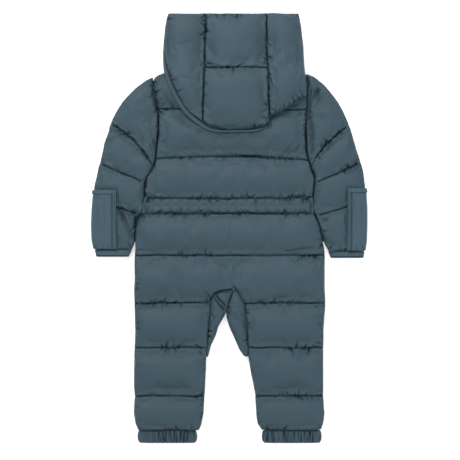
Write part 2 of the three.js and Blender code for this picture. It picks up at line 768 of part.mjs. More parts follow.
// Fronts: one each side of the zip, shoulder to ankle, quilted like the back and flattened by the surface.
const WAIST_LINE = (CASING_TOP + CASING_BOTTOM) / 2;
const LEG_LINES = [SEAT_LINE, THIGH_LINE, KNEE_LINE, SHIN_LINE, CUFF_SEAM];
const FRONT_LINES = [YOKE_LINE, BACK_LINE, WAIST_LINE, ...LEG_LINES];
const FRONT_INSET = SEAM_GAP + 0.9; // the inner leg edges keep clear of the gusset between their own rows
const FLY_END = -66; // the front edges leave the zip here and run to the crotch
function front(side) {
  const isLeft = side === "left";
  const sideX = isLeft ? leftSide : rightSide;
  const inseam = isLeft ? leftInseam : rightInseam;
  const away = isLeft ? -1 : 1;
  const zipEdge = ZIP.x + away * ZIP_EDGE;
  const crotch = isLeft ? { x: -26.4, y: -113.8 } : { x: 19, y: -117 };
  const innerX = (y) => {
    if (y > FLY_END) return zipEdge;
    const atCrotch = crotch.x + away * FRONT_INSET;
    if (y > crotch.y) return lerp(zipEdge, atCrotch, (y - FLY_END) / (crotch.y - FLY_END));
    if (y > THIGH_LINE) {
      const atThigh = inseam(THIGH_LINE) + away * FRONT_INSET;
      return lerp(atCrotch, atThigh, (y - crotch.y) / (THIGH_LINE - crotch.y));
    }
    return inseam(y) + away * FRONT_INSET;
  };
  const table = [{ side: SHOULDER, inner: NECK_POINT }, ...FRONT_LINES.map((y) => ({ side: y, inner: y }))];
  const columns = isLeft ? ["side", "inner"] : ["inner", "side"];
  const lines = table.map((row) => ({ left: row[columns[0]], right: row[columns[1]], bow: 0.9 }));
  const edges = isLeft ? [sideX, innerX] : [innerX, sideX];
  const rows = quiltRows({
    channels: lines.length - 1,
    steps: () => FRONT_STEPS,
    left: rowEnd(lines, "left", edges[0], isLeft ? 1 : 0),
    right: rowEnd(lines, "right", edges[1], isLeft ? 0 : -1),
    line: straightLines(lines, edges[0], edges[1]),
    near: [0, 3, 11],
    middle: 1,
  });
  const frontSides = (left, right) => rounded(left, FRONT_ROUND) * rounded(right, FRONT_ROUND);
  const grid = rows.map(({ t, points }) =>
    points.map(({ x, y, fromLeft, fromRight }) => ({
      x,
      y,
      height: STITCHED + (FRONT_SWELL - STITCHED) * puff(t) * frontSides(fromLeft, fromRight),
    })),
  );
  return flatLinedWall([grid], FRONT_LOFT, -1);
}
add("front_left", front("left"));
add("front_right", front("right"));

// A sleeve's outside over and under its middle height, at a distance from its fold. `full` is how full its
// channel is.
function sleeveHeights(distance, full, { middle, loft, rest }) {
  const fold = STITCHED * rounded(distance, FOLD_ROUND);
  const swell = full * rounded(distance, SIDE_ROUND);
  return {
    high: middle + fold + (loft - STITCHED) * swell,
    low: Math.max(rest, middle - fold - (FRONT_SWELL - STITCHED) * swell),
  };
}

// Sleeves: padded tubes flattened round a thin hollow, quilted across.
function sleeve(lines, edge, side, floor) {
  const outerX = along(edge, "y", "x");
  const isLeft = side === "left";
  const bodyX = isLeft ? leftSide : rightSide;
  const away = isLeft ? -1 : 1;
  const innerX = (y) => {
    const gap = y > ARMPIT ? ARMHOLE_GAP : SLEEVE_CLEARANCE;
    return bodyX(y) + away * (gap + WRIST.slope * Math.max(0, WRIST.y - y));
  };
  const armhole = (s) => {
    const y = lerp(lines[0].outerY, lines[0].innerY, s);
    return { x: bodyX(y) + away * ARMHOLE_GAP * Math.min(1, 0.3 + s * 9), y };
  };
  const outerEnd = (k, t) => {
    const y = lerp(lines[k].outerY, lines[k + 1].outerY, t);
    return { x: outerX(y) - away * SCALLOP * (1 - puff(t)), y };
  };
  const innerEndOf = (k, t) => {
    const y = lerp(lines[k].innerY, lines[k + 1].innerY, t);
    return { x: innerX(y) + away * SCALLOP * (1 - puff(t)) * (k ? 1 : 0), y };
  };
  // s runs from the silhouette to the edge beside the body.
  const line = (k, s) => {
    if (k === 0) return armhole(s);
    const row = lines[k];
    const last = k === lines.length - 1;
    const from = last ? outerEnd(k - 1, 1) : outerEnd(k, 0);
    const to = last ? innerEndOf(k - 1, 1) : innerEndOf(k, 0);
    const bow = Math.sin(Math.PI * s);
    return { x: lerp(from.x, to.x, s) + row.bowX * bow, y: lerp(from.y, to.y, s) + row.bowY * bow };
  };
  const rows = quiltRows({
    channels: lines.length - 1,
    steps: () => SLEEVE_STEPS,
    left: (k, t) => (k === 0 && t === 0 ? armhole(0) : outerEnd(k, t)),
    right: (k, t) => (k === 0 && t === 0 ? armhole(1) : innerEndOf(k, t)),
    line,
    near: [0, 1.4, 5.5, 14],
    middle: 1,
  });
  const rings = rows.map(({ k, t, points }) => {
    const middle = lerp(lines[k].middle, lines[k + 1].middle, t);
    const loft = lerp(lines[k].loft, lines[k + 1].loft, t);
    const rest = floor(lerp(lines[k].outerY, lines[k + 1].outerY, t));
    const section = points.map((point) => ({
      ...point,
      ...sleeveHeights(Math.min(point.fromLeft, point.fromRight), puff(t), { middle, loft, rest }),
    }));
    return { t, k, middle, section };
  });
  const ring = (section, top, bottom) => [
    ...section.map(top),
    ...section.slice(1, -1).reverse().map(bottom),
  ];
  const outer = rings.map(({ section }) =>
    ring(section, ({ x, y, high }) => [x, y, high], ({ x, y, low }) => [x, y, low]),
  );
  const slotRings = rings.filter(({ t, k }) => t === 0 || (t === 1 && k === lines.length - 2));
  const inner = slotRings.map(({ section, middle }) => {
    const first = section[0];
    const end = section.at(-1);
    const width = Math.hypot(end.x - first.x, end.y - first.y);
    const inset = SLOT_INSET / width;
    const place = ({ x, y, fromLeft }) => {
      const u = fromLeft / width;
      const moved = clamp(u, inset, 1 - inset) - u;
      return [x + moved * (end.x - first.x), y + moved * (end.y - first.y)];
    };
    const open = ({ fromLeft, fromRight }) =>
      (LAYER_GAP / 2) * clamp((Math.min(fromLeft, fromRight) - SLOT_INSET) / 4 + 0.5, 0.12, 1);
    return ring(
      section,
      (point) => [...place(point), middle + (point === first || point === end ? 0 : open(point))],
      (point) => [...place(point), middle - open(point)],
    );
  });
  return tubeBetween(outer, inner);
}
const restOf = (mitt) => (y) => FOREARM_RISE * clamp((mitt.top + 45 - y) / 18, 0, 1);
add("sleeve_left", sleeve(LEFT_SLEEVE_LINES, LEFT_SLEEVE_EDGE, "left", restOf(LEFT_MITT)));
add("sleeve_right", sleeve(RIGHT_SLEEVE_LINES, RIGHT_SLEEVE_EDGE, "right", restOf(RIGHT_MITT)));

// Mitt flap: a plain wall round the forearm's outer fold, over the padding's fullest section.
// The crown is the height of the flap's inside over the forearm, and the middle is the height of its fold.
const MITT_ROWS = [
  { t: 0, crown: 23.8, middle: 11.7 },
  { t: 0.065, crown: 23.8, middle: 11.6 },
  { t: 0.34, crown: 22.6, middle: 11 },
  { t: 0.6, crown: 21.2, middle: 10.2 },
  { t: 0.84, crown: 18.9, middle: 9.5 },
  { t: 1, crown: 16, middle: 9.05 },
];
const MITT_NEAR = [0, 1.4, 3.2, 5.5, 9.5, 14, SIDE_ROUND + 1];
const MITT_SLANT = 1.06; // the sleeve's rows slant, so its fold is this much steeper across

// Rows run from the bound top edge to the cuff seam, and \`out\` moves every point away from the sleeve.
function mittGrid(mitt, edge, out) {
  const outerX = along(edge, "y", "x");
  const end = edge.at(-1).y;
  const move = MITT_CLEARANCE + out;
  return MITT_ROWS.map(({ t, crown, middle }) => {
    const y = lerp(mitt.top, mitt.bottom, t);
    const tip = outerX(Math.max(y, end)) + mitt.side * move;
    const section = MITT_NEAR.map((inward) => {
      const form = { middle, loft: crown - middle, rest: FOREARM_RISE };
      const { high, low } = sleeveHeights(inward * MITT_SLANT, 1, form);
      const raise = move * rounded(inward, MITT_NEAR[1]);
      return { x: tip - mitt.side * inward, high: high + raise, low: low - raise };
    });
    const { high, low } = section.at(-1);
    const bound = [mitt.bound + mitt.side * BINDING_WIDTH, mitt.bound].map((x) => ({ x, high, low }));
    const across = [...section, ...bound];
    return [
      ...across.map((point) => [point.x, y, point.high]).reverse(),
      ...across.slice(1).map((point) => [point.x, y, point.low]),
    ];
  });
}
function mittFlap(mitt, edge) {
  return wallBetween(mittGrid(mitt, edge, MITT_WALL), mittGrid(mitt, edge, 0));
}
// Its binding: a band along the top edge and a strip down the bound side edge, back and front.
function mittBinding(mitt, edge) {
  const start = MITT_WALL + LAYER_GAP;
  const outer = mittGrid(mitt, edge, start + BINDING_WALL);
  const inner = mittGrid(mitt, edge, start);
  const body = new Body();
  const last = outer[0].length - 2;
  const kept = (i, j) => i === 0 || (i > 0 && i < outer.length - 1 && (j === 0 || j === last));
  for (let i = 0; i + 1 < outer.length; i++) {
    for (let j = 0; j <= last; j++) {
      if (!kept(i, j)) continue;
      const cell = (grid) => [grid[i][j], grid[i + 1][j], grid[i + 1][j + 1], grid[i][j + 1]];
      const o = cell(outer).map((point) => body.corner(point));
      const n = cell(inner).map((point) => body.corner(point));
      body.quad(o[0], o[1], o[2], o[3]);
      body.quad(n[3], n[2], n[1], n[0]);
      const beside = [
        [i, j - 1],
        [i + 1, j],
        [i, j + 1],
        [i - 1, j],
      ];
      beside.forEach(([a, b], e) => {
        const inside = a >= 0 && a < outer.length - 1 && b >= 0 && b <= last && kept(a, b);
        const f = (e + 1) % 4;
        if (!inside) body.quad(o[f], o[e], n[e], n[f]);
      });
    }
  }
  return body.geometry();
}
add("mitt_left", mittFlap(LEFT_MITT, LEFT_SLEEVE_EDGE));
add("mitt_right", mittFlap(RIGHT_MITT, RIGHT_SLEEVE_EDGE));
add("mitt_binding_left", mittBinding(LEFT_MITT, LEFT_SLEEVE_EDGE), BINDING);
add("mitt_binding_right", mittBinding(RIGHT_MITT, RIGHT_SLEEVE_EDGE), BINDING);

// A flattened tube in rows, for the sleeve and leg ends. Each row has its edges and half height.
function flatTube(rows, count, wall, wave) {
  const ring = ({ y, left, right, half, gather }, inset) => {
    const face = (sign) =>
      Array.from({ length: count }, (_, i) => {
        const u = sign > 0 ? i / count : 1 - i / count;
        const spread = Math.pow(1 - Math.pow(Math.abs(2 * u - 1), 3.2), 1 / 2.2);
        const ripple = inset ? 0 : wave(i) * gather * spread;
        const high = inset ? LAYER_GAP : half;
        const z = END_MIDDLE + sign * (high * spread + ripple);
        return [lerp(left + inset, right - inset, u), y, Math.max(z, 0.1)];
      });
    return [...face(1), ...face(-1)];
  };
  const inner = [rows[0], rows.at(-1)].map((row) => ring(row, wall));
  const outer = rows.map((row) => ring(row, 0));
  return tubeBetween(outer, inner);
}

function sleeveCuff({ left, right, top, bottom, tapers }) {
  const rows = [
    { t: 0, slimmer: 0.8 },
    { t: 0.22, slimmer: 0 },
    { t: 0.74, slimmer: 0 },
    { t: 1, slimmer: 1 },
  ];
  return flatTube(
    rows.map(({ t, slimmer }) => ({
      y: lerp(top, bottom, t),
      left: left + tapers[0] * t,
      right: right - tapers[1] * t,
      half: SLEEVE_CUFF_HALF - slimmer,
      gather: 0,
    })),
    9,
    SLEEVE_CUFF_WALL,
    () => 0,
  );
}
add("sleeve_cuff_left", sleeveCuff(LEFT_SLEEVE_CUFF), BINDING);
add("sleeve_cuff_right", sleeveCuff(RIGHT_SLEEVE_CUFF), BINDING);

// Leg ends: elastic tubes with a row of gathers on each face.
const gatherWave = (i) => (i % 3 === 0 ? -1.5 : 0.75);
function legCuff({ left, right }) {
  const rows = [
    { y: ANKLE_TOP, inset: 3.4, slimmer: 3, gather: 0.4 },
    { y: ANKLE_TOP - 3.9, inset: 1.2, slimmer: 0.6, gather: 1 },
    { y: ANKLE_TOP - 11.5, inset: 0, slimmer: 0, gather: 0.9 },
    { y: ANKLE_TOP - 18.2, inset: 0.8, slimmer: 0.8, gather: 1 },
    { y: HEM, inset: 4, slimmer: 3.6, gather: 0.5 },
  ];
  return flatTube(
    rows.map(({ y, inset, slimmer, gather }) => ({
      y,
      left: left + inset,
      right: right - inset,
      half: ANKLE_HALF - slimmer,
      gather,
    })),
    ANKLE_GATHERS * 3,
    ANKLE_WALL,
    gatherWave,
  );
}
add("leg_cuff_left", legCuff(LEFT_ANKLE), CLOTH_DARK);
add("leg_cuff_right", legCuff(RIGHT_ANKLE), CLOTH_DARK);

// Height of the hood's inside: low at the top, up over the shoulders below.
function hoodLevel(y) {
  return lerp(HOOD_ON_BACK, BACK_LEVEL, THREE.MathUtils.smoothstep(y, RAMP_LOW, RAMP_HIGH));
}

// Rim: the bound edge that hangs free over the back.
const rimMiddle = new THREE.CatmullRomCurve3(HOOD_RIM.map(({ x, y, half }) => new THREE.Vector3(x, y, half)));
function rimPath(s) {
  const { x, y, z: half } = rimMiddle.getPoint(s);
  const run = rimMiddle.getTangent(s);
  const across = new THREE.Vector2(run.y, -run.x).normalize();
  return { x, y, half, across };
}
{
  const count = 34;
  const section = [
    { across: 1, z: 0.35 },
    { across: 1, z: RIM_HEIGHT * 0.62 },
    { across: 0.45, z: RIM_HEIGHT },
    { across: -0.4, z: RIM_HEIGHT },
    { across: -1, z: RIM_HEIGHT * 0.7 },
    { across: -1, z: 0.35 },
  ];
  const rings = Array.from({ length: count + 1 }, (_, i) => {
    const { x, y, half, across } = rimPath(i / count);
    return section.map((corner) => [
      x + across.x * half * corner.across,
      y + across.y * half * corner.across,
      hoodLevel(y) + corner.z,
    ]);
  });
  add("hood_rim", throughRings(rings), BINDING);
}

// The rim's inner side as points, for the panels that it binds.
const rimInside = (from, to, count) =>
  Array.from({ length: count + 1 }, (_, i) => {
    const { x, y, half, across } = rimPath(lerp(from, to, i / count) / (HOOD_RIM.length - 1));
    return { x: x - across.x * (half + SEAM_GAP), y: y - across.y * (half + SEAM_GAP) };
  });

// A hood panel: loft rounds off at every edge, and its inside follows the hood's level.
function hoodPanel({ lines, left, right, steps, crossed, middle, bottom, gathers, loft }) {
  const made = quiltRows({
    channels: lines.length - 1,
    steps: (k) => steps[k],
    left: (k, t) => {
      const y = lerp(lines[k].left, lines[k + 1].left, t);
      return { x: left(y), y };
    },
    right: (k, t) => {
      const y = lerp(lines[k].right, lines[k + 1].right, t);
      return { x: right(y), y };
    },
    line: (k, u) => {
      const { left: from, right: to } = lines[k];
      const x = lerp(left(from), right(to), u);
      return { x, y: k === lines.length - 1 ? bottom(x, u) : lerp(from, to, u) };
    },
    near: HOOD_NEAR,
    middle,
  });
  const outer = [];
  const inner = [];
  for (const { k, t, points } of made) {
    const height = Math.abs(lines[k].left - lines[k + 1].left);
    const fromTop = t * height + (crossed || k === 0 ? 0 : HOOD_ROUND);
    const fromLow = (1 - t) * height + (crossed || k === 1 ? 0 : HOOD_ROUND);
    const ends = rounded(fromTop, HOOD_ROUND) * rounded(fromLow, HOOD_ROUND);
    const low = k === lines.length - 2 ? clamp((t - 0.6) / 0.3, 0, 1) : 0;
    const thickness = ({ u, fromLeft, fromRight }, j) => {
      const swell = ends * rounded(fromLeft, HOOD_ROUND) * rounded(fromRight, HOOD_ROUND);
      const fade = low * clamp(Math.min(u, 1 - u) * 12, 0, 1);
      const wave = gathers ? (j % 3 === 0 ? -2 : 1) * HOOD_WAVE * fade : 0;
      return HOOD_EDGE + wave * HOOD_WAVE_AT_EDGE + (loft - STITCHED + wave) * swell;
    };
    outer.push(points.map((point, j) => [point.x, point.y, hoodLevel(point.y) + thickness(point, j)]));
    inner.push(points.map(({ x, y }) => [x, y, hoodLevel(y)]));
  }
  return wallBetween(outer, inner);
}
const HOOD_SIDE_STEPS = [
  [0, 0.08, 0.28, 0.64],
  [0, 0.36, 0.72, 0.92],
];
const HOOD_CENTRE_STEPS = [
  [0, 0.07, 0.24, 0.5, 0.76, 0.93],
  [0, 0.07, 0.24, 0.5, 0.76, 0.93],
];
const HOOD_NEAR = [0, 3.5, 12];
function hoodSeam({ top, cross, low }) {
  return (y) =>
    y > HOOD_CROSS
      ? lerp(cross, top, (y - HOOD_CROSS) / (HOOD_TOP - HOOD_CROSS))
      : lerp(cross, low, clamp((HOOD_CROSS - y) / (HOOD_CROSS - HOOD_LOW), 0, 1));
}
const leftSeam = hoodSeam(HOOD_SEAMS.left);
const rightSeam = hoodSeam(HOOD_SEAMS.right);
{
  const sideEdge = rimInside(0, RIM_LEFT_LOW, 8);
  const lowEdge = rimInside(RIM_LEFT_LOW, RIM_CORNER - 0.1, 5);
  const leftEdge = along([...HOOD_LEFT_EDGE.slice(0, -1), ...sideEdge.slice(1)], "y", "x");
  const low = along(lowEdge, "x", "y");
  add(
    "hood_left",
    hoodPanel({
      lines: [
        { left: HOOD_TOP, right: HOOD_TOP },
        { left: HOOD_CROSS + 8, right: HOOD_CROSS },
        { left: sideEdge.at(-1).y, right: low(leftSeam(HOOD_LOW) - SEAM_GAP) },
      ],
      left: leftEdge,
      right: (y) => leftSeam(y) - SEAM_GAP / 2,
      steps: HOOD_SIDE_STEPS,
      crossed: false,
      middle: 2,
      bottom: low,
      loft: HOOD_LOFT - 1,
    }),
  );
}
{
  const lowEdge = rimInside(RIM_CORNER + 0.1, HOOD_RIM.length - 1.6, 10);
  const low = along(lowEdge, "x", "y");
  const cornerLeft = leftSeam(HOOD_LOW) + SEAM_GAP;
  add(
    "hood_centre",
    hoodPanel({
      lines: [
        { left: HOOD_TOP, right: HOOD_TOP },
        { left: HOOD_CROSS, right: HOOD_CROSS },
        { left: low(cornerLeft) + 3, right: low(rightSeam(HOOD_LOW) - 2) + 3 },
      ],
      left: (y) => leftSeam(y) + SEAM_GAP / 2,
      right: (y) => rightSeam(y) - SEAM_GAP / 2,
      steps: HOOD_CENTRE_STEPS,
      crossed: true,
      middle: 2,
      bottom: (x) => low(x) + 3 * clamp(Math.abs(x - 13) / 40 - 0.4, 0.12, 1),
      loft: HOOD_LOFT,
    }),
  );
}
{
  const low = along(GATHERED_EDGE, "x", "y");
  add(
    "hood_right",
    hoodPanel({
      lines: [
        { left: HOOD_TOP, right: HOOD_TOP },
        { left: HOOD_CROSS, right: HOOD_CROSS + 8 },
        { left: GATHERED_EDGE[0].y + 1, right: GATHERED_EDGE.at(-1).y },
      ],
      left: (y) => rightSeam(y) + SEAM_GAP / 2,
      right: along(HOOD_RIGHT_EDGE, "y", "x"),
      steps: HOOD_SIDE_STEPS,
      crossed: false,
      middle: HOOD_GATHERS * 3 - 5,
      bottom: (x) => low(x),
      gathers: HOOD_GATHERS,
      loft: HOOD_LOFT - 1,
    }),
  );
}

// Face side of the hood: a padded ring round the face opening, flat on the surface.
{
  const corners = [
    { x: -106, y: HOOD_TOP },
    { x: -40, y: HOOD_TOP + 0.4 },
    { x: 8, y: HOOD_TOP + 0.6 },
    { x: 60, y: HOOD_TOP + 0.4 },
    { x: 121.4, y: HOOD_TOP },
    { x: 124, y: 366 },
    { x: 127, y: 348.2 },
    { x: 129.2, y: 323.8 },
    { x: 131, y: 292.2 },
    { x: 131.8, y: NECK_LEFT + 1 },
    { x: 90, y: NECK_MIDDLE + 6 },
    { x: 48, y: NECK_MIDDLE },
    { x: 3, y: NECK_MIDDLE - 3 },
    { x: -42, y: NECK_MIDDLE },
    { x: -84, y: NECK_MIDDLE + 6 },
    { x: -112.6, y: NECK_LEFT + 1 },
    { x: -115.6, y: 297 },
    { x: -115, y: 323.8 },
    { x: -112.4, y: 348.2 },
    { x: -109, y: 366 },
  ];
  const across = [
    { s: 0, height: STITCHED },
    { s: 0.08, height: 7.4 },
    { s: 0.3, height: FRONT_LOFT },
    { s: 0.7, height: FRONT_LOFT },
    { s: 0.92, height: 8 },
    { s: 1, height: 3 },
  ];
  const outer = [];
  const inner = [];
  for (const { s, height } of across) {
    const ring = corners.map(({ x, y }) => {
      const turn = Math.atan2((y - FACE.y) / FACE.halfHeight, (x - FACE.x) / FACE.halfWidth);
      const faceX = FACE.x + FACE.halfWidth * Math.cos(turn);
      const faceY = FACE.y + FACE.halfHeight * Math.sin(turn);
      return [lerp(x, faceX, s), lerp(y, faceY, s)];
    });
    outer.push(ring.map(([x, y]) => [x, y, FRONT_LOFT - height]));
    inner.push(ring.map(([x, y]) => [x, y, FRONT_LOFT]));
  }
  add("hood_front", tubeBetween(outer, [inner[0], inner.at(-1)]));
}

// Front zip: a tape with its chain standing towards the surface.
function extrudedAlongY(points, from, to) {
  const shape = new THREE.Shape(points.map(([x, z]) => new THREE.Vector2(x, z)));
  const made = new THREE.ExtrudeGeometry(shape, { depth: to - from, bevelEnabled: false });
  return made.rotateX(Math.PI / 2).translate(0, to, 0);
}
function extrudedAlongX(points, from, to) {
  const shape = new THREE.Shape(points.map(([y, z]) => new THREE.Vector2(y, z)));
  const made = new THREE.ExtrudeGeometry(shape, { depth: to - from, bevelEnabled: false });
  const turned = new THREE.Matrix4().makeBasis(
    new THREE.Vector3(0, 1, 0),
    new THREE.Vector3(0, 0, 1),
    new THREE.Vector3(1, 0, 0),
  );
  return made.applyMatrix4(turned).translate(from, 0, 0);
}
{
  const { x, top, bottom } = ZIP;
  const profile = [
    [x - TAPE.half, TAPE.low],
    [x - CHAIN.half, TAPE.low],
    [x - CHAIN.half, CHAIN.low],
    [x + CHAIN.half, CHAIN.low],
    [x + CHAIN.half, TAPE.low],
    [x + TAPE.half, TAPE.low],
    [x + TAPE.half, TAPE.high],
    [x - TAPE.half, TAPE.high],
  ];
  add("front_zip", extrudedAlongY(profile, bottom, top), CLOTH_DARK, 0.6, 0);
}

function solidOf(geometry) {
  const bare = geometry.clone();
  bare.deleteAttribute("normal");
  bare.deleteAttribute("uv");
  const merged = mergeVertices(bare, 1e-4);
  return new wasm.Manifold(
    new wasm.Mesh({
      numProp: 3,
      vertProperties: merged.attributes.position.array,
      triVerts: new Uint32Array(merged.index.array),
    }),
  );
}
function geometryOf(solid) {
  const mesh = solid.getMesh();
  const made = new THREE.BufferGeometry();
  made.setAttribute("position", new THREE.Float32BufferAttribute(mesh.vertProperties, 3));
  made.setIndex([...mesh.triVerts]);
  return made;
}
function block(x0, x1, y0, y1, z0, z1) {
  const made = new THREE.BoxGeometry(x1 - x0, y1 - y0, z1 - z0);
  return made.translate((x0 + x1) / 2, (y0 + y1) / 2, (z0 + z1) / 2);
}
function joined(geometries) {
  return geometryOf(geometries.map(solidOf).reduce((all, next) => all.add(next)));
}

// Slider: a channel round the chain, with a small bridge that holds the pull.
{
  const { y, half, wide, low, cheek, high } = SLIDER;
  const plate = low + 2.3;
  const channel = [
    [ZIP.x - wide, low],
    [ZIP.x + wide, low],
    [ZIP.x + wide, high],
    [ZIP.x + cheek, high],
    [ZIP.x + cheek, plate],
    [ZIP.x - cheek, plate],
    [ZIP.x - cheek, high],
    [ZIP.x - wide, high],
  ];
  const { half: reach, post, wide: side, low: barLow, bar } = BRIDGE;
  const bridge = [
    [y - reach, barLow],
    [y + reach, barLow],
    [y + reach, low + 0.5],
    [y + reach - post, low + 0.5],
    [y + reach - post, barLow + bar],
    [y - reach + post, barLow + bar],
    [y - reach + post, low + 0.5],
    [y - reach, low + 0.5],
  ];
  add(
    "zip_slider",
    joined([extrudedAlongY(channel, y - half, y + half), extrudedAlongX(bridge, ZIP.x - side, ZIP.x + side)]),
    METAL,
    0.4,
    0.9,
  );
}

// Pull: a flat tab with a window round the bridge's post and a pin under the bridge.
{
  const { axis, pin, arm, wide, thick, window, length } = PULL;
  const y = SLIDER.y;
  const z0 = axis - thick / 2;
  const z1 = axis + thick / 2;
  const bar = new THREE.CylinderGeometry(pin, pin, 2 * wide, 12);
  bar.rotateZ(Math.PI / 2).translate(ZIP.x, y, axis);
  add(
    "zip_pull",
    joined([
      bar,
      block(ZIP.x - wide, ZIP.x - arm, y - window - 1, y, z0, z1),
      block(ZIP.x + arm, ZIP.x + wide, y - window - 1, y, z0, z1),
      block(ZIP.x - wide, ZIP.x + wide, y - length, y - window, z0, z1),
    ]),
    METAL,
    0.4,
    0.9,
  );
}

export default suit;
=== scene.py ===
import math
import random

import bmesh
import bpy
import numpy as np
from mathutils import Matrix, Vector, noise
from mathutils.bvhtree import BVHTree
from mathutils.kdtree import KDTree


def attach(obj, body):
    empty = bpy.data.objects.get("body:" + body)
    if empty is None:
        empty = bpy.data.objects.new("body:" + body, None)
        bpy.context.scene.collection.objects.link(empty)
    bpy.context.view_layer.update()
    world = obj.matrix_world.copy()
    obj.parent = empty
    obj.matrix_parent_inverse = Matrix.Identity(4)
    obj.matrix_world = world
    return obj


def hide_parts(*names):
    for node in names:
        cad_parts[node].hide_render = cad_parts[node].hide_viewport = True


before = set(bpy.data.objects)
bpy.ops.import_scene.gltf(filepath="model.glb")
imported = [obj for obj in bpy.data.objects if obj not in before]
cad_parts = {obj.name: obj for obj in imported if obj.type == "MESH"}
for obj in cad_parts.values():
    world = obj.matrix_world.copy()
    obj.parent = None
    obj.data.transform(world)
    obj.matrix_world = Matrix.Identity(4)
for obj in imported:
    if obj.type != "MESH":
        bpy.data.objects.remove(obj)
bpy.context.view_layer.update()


# Camera
# The photograph looks straight down on the laid garment. One of its 460 pixels is 1.75 mm on the cloth, and the
# garment's middle lies a pixel or two from the picture's middle.
PIXEL = 0.00175
PHOTO_WIDTH = 460
LENS = 105
SENSOR = 36
CLOTH_HEIGHT = 0.02
camera_distance = PIXEL * PHOTO_WIDTH * LENS / SENSOR
bpy.ops.object.camera_add(
    location=(PIXEL, -2 * PIXEL, CLOTH_HEIGHT + camera_distance), rotation=(0, 0, 0)
)
camera = bpy.context.object
camera.name = "camera_above"
camera.data.lens = LENS
camera.data.sensor_width = SENSOR
camera.data.clip_end = 20
bpy.context.scene.camera = camera


# Shell nylon
# One matte woven nylon covers every padded piece. It is slate with a little teal, finely woven, softly crinkled,
# and its colour and shine vary a little over the cloth. Painted shade darkens it in creases and along seams.
class Link:
    """A shader socket or number in an expression."""

    tree = None

    def __init__(self, socket):
        self.socket = socket

    @classmethod
    def node(cls, kind, settings=None, inputs=None, output=0):
        made = cls.tree.nodes.new("ShaderNode" + kind)
        for name, value in (settings or {}).items():
            setattr(made, name, value)
        for name, value in (inputs or {}).items():
            if isinstance(value, Link):
                cls.tree.links.new(value.socket, made.inputs[name])
            else:
                made.inputs[name].default_value = value
        return Link(made.outputs[output])

    @classmethod
    def maths(cls, operation, *values):
        return cls.node("Math", {"operation": operation}, dict(enumerate(values)))

    def __add__(self, other):
        return Link.maths("ADD", self, other)

    def __sub__(self, other):
        return Link.maths("SUBTRACT", self, other)

    def __mul__(self, other):
        return Link.maths("MULTIPLY", self, other)

    def __rsub__(self, other):
        return Link.maths("SUBTRACT", other, self)

    __radd__ = __add__
    __rmul__ = __mul__

    def clamped(self, low, high):
        return Link.node("Clamp", None, {"Value": self, "Min": low, "Max": high})


def cloth_material(name, pale, dark, rough, weave=1700, crinkle=0.5):
    """A woven cloth between two shades at random, with painted shade where creased, threads per metre and some
    crinkle.
    """
    material = bpy.data.materials.new(name)
    material.use_nodes = True
    Link.tree = material.node_tree
    shader = Link.tree.nodes["Principled BSDF"]
    place = Link.node("TexCoord", output=3)
    mottle = Link.node("TexNoise", None, {"Vector": place, "Scale": 14, "Detail": 4, "Roughness": 0.6})
    fibre = Link.node("TexNoise", None, {"Vector": place, "Scale": 900, "Detail": 2})
    shade = (mottle * 0.7 + fibre * 0.3).clamped(0, 1)
    colour = Link.node(
        "Mix",
        {"data_type": "RGBA"},
        {"Factor": shade, 6: (*dark, 1), 7: (*pale, 1)},
        output=2,
    )
    # Painted shade: an attribute of each piece darkens the colour towards near-black teal in its creases and seams.
    shade_painted = Link.node("Attribute", {"attribute_name": "painted_crease_shade"}, output=2)
    colour = Link.node(
        "Mix",
        {"data_type": "RGBA"},
        {"Factor": shade_painted.clamped(0, 0.88), 6: colour, 7: (dark[0] * 0.12, dark[1] * 0.2, dark[2] * 0.24, 1)},
        output=2,
    )
    shine = Link.node("TexNoise", None, {"Vector": place, "Scale": 55, "Detail": 3})
    roughness = (shine * 0.16 + (rough - 0.08)).clamped(0.2, 1)
    axes = [
        Link.maths("SINE", Link.node("SeparateXYZ", None, {"Vector": place}, output=axis) * (weave * math.pi))
        for axis in range(2)
    ]
    threads = axes[0] * axes[1] * 0.5
    folds = Link.node(
        "TexNoise",
        None,
        {"Vector": place, "Scale": 75, "Detail": 4, "Roughness": 0.55, "Distortion": 0.9},
    )
    bump = Link.node(
        "Bump", None, {"Height": folds, "Strength": crinkle, "Distance": 0.0011}
    )
    weave_bump = Link.node(
        "Bump", None, {"Height": threads, "Strength": 0.35, "Distance": 0.00012, "Normal": bump}
    )
    for socket, value in (("Base Color", colour), ("Roughness", roughness), ("Normal", weave_bump)):
        Link.tree.links.new(value.socket, shader.inputs[socket])
    shader.inputs["Specular IOR Level"].default_value = 0.3
    return material


shell_nylon = cloth_material("shell_nylon", (0.0355, 0.0675, 0.089), (0.027, 0.054, 0.0715), 0.6)


# Back bodice
# Three channels of nylon over polyester filling, sewn through along straight quilt lines. The thread draws the
# nylon in, so it puckers along each line and swells between the lines.
NEAR_SEAM = 0.0085
FINE = 0.0023
COARSE = 0.0048
sewn_lines = {"back": [], "front": []}


def wall_depth(solid, vertex, side):
    """How thick the wall is at a point of its outside, or None at a point that isn't seen from that side."""
    up = side if side else (1 if vertex.normal.z > 0 else -1)
    start = vertex.co - Vector((vertex.normal.x, vertex.normal.y, 0)) * 0.0002
    start.z = up
    down = Vector((0, 0, -up))
    hit = solid.ray_cast(start, down)[0]
    if hit is None or abs(hit.z - vertex.co.z) > 0.0006:
        return None
    below = solid.ray_cast(hit + down * 0.00005, down)[0]
    return abs(hit.z - below.z) if below else 0


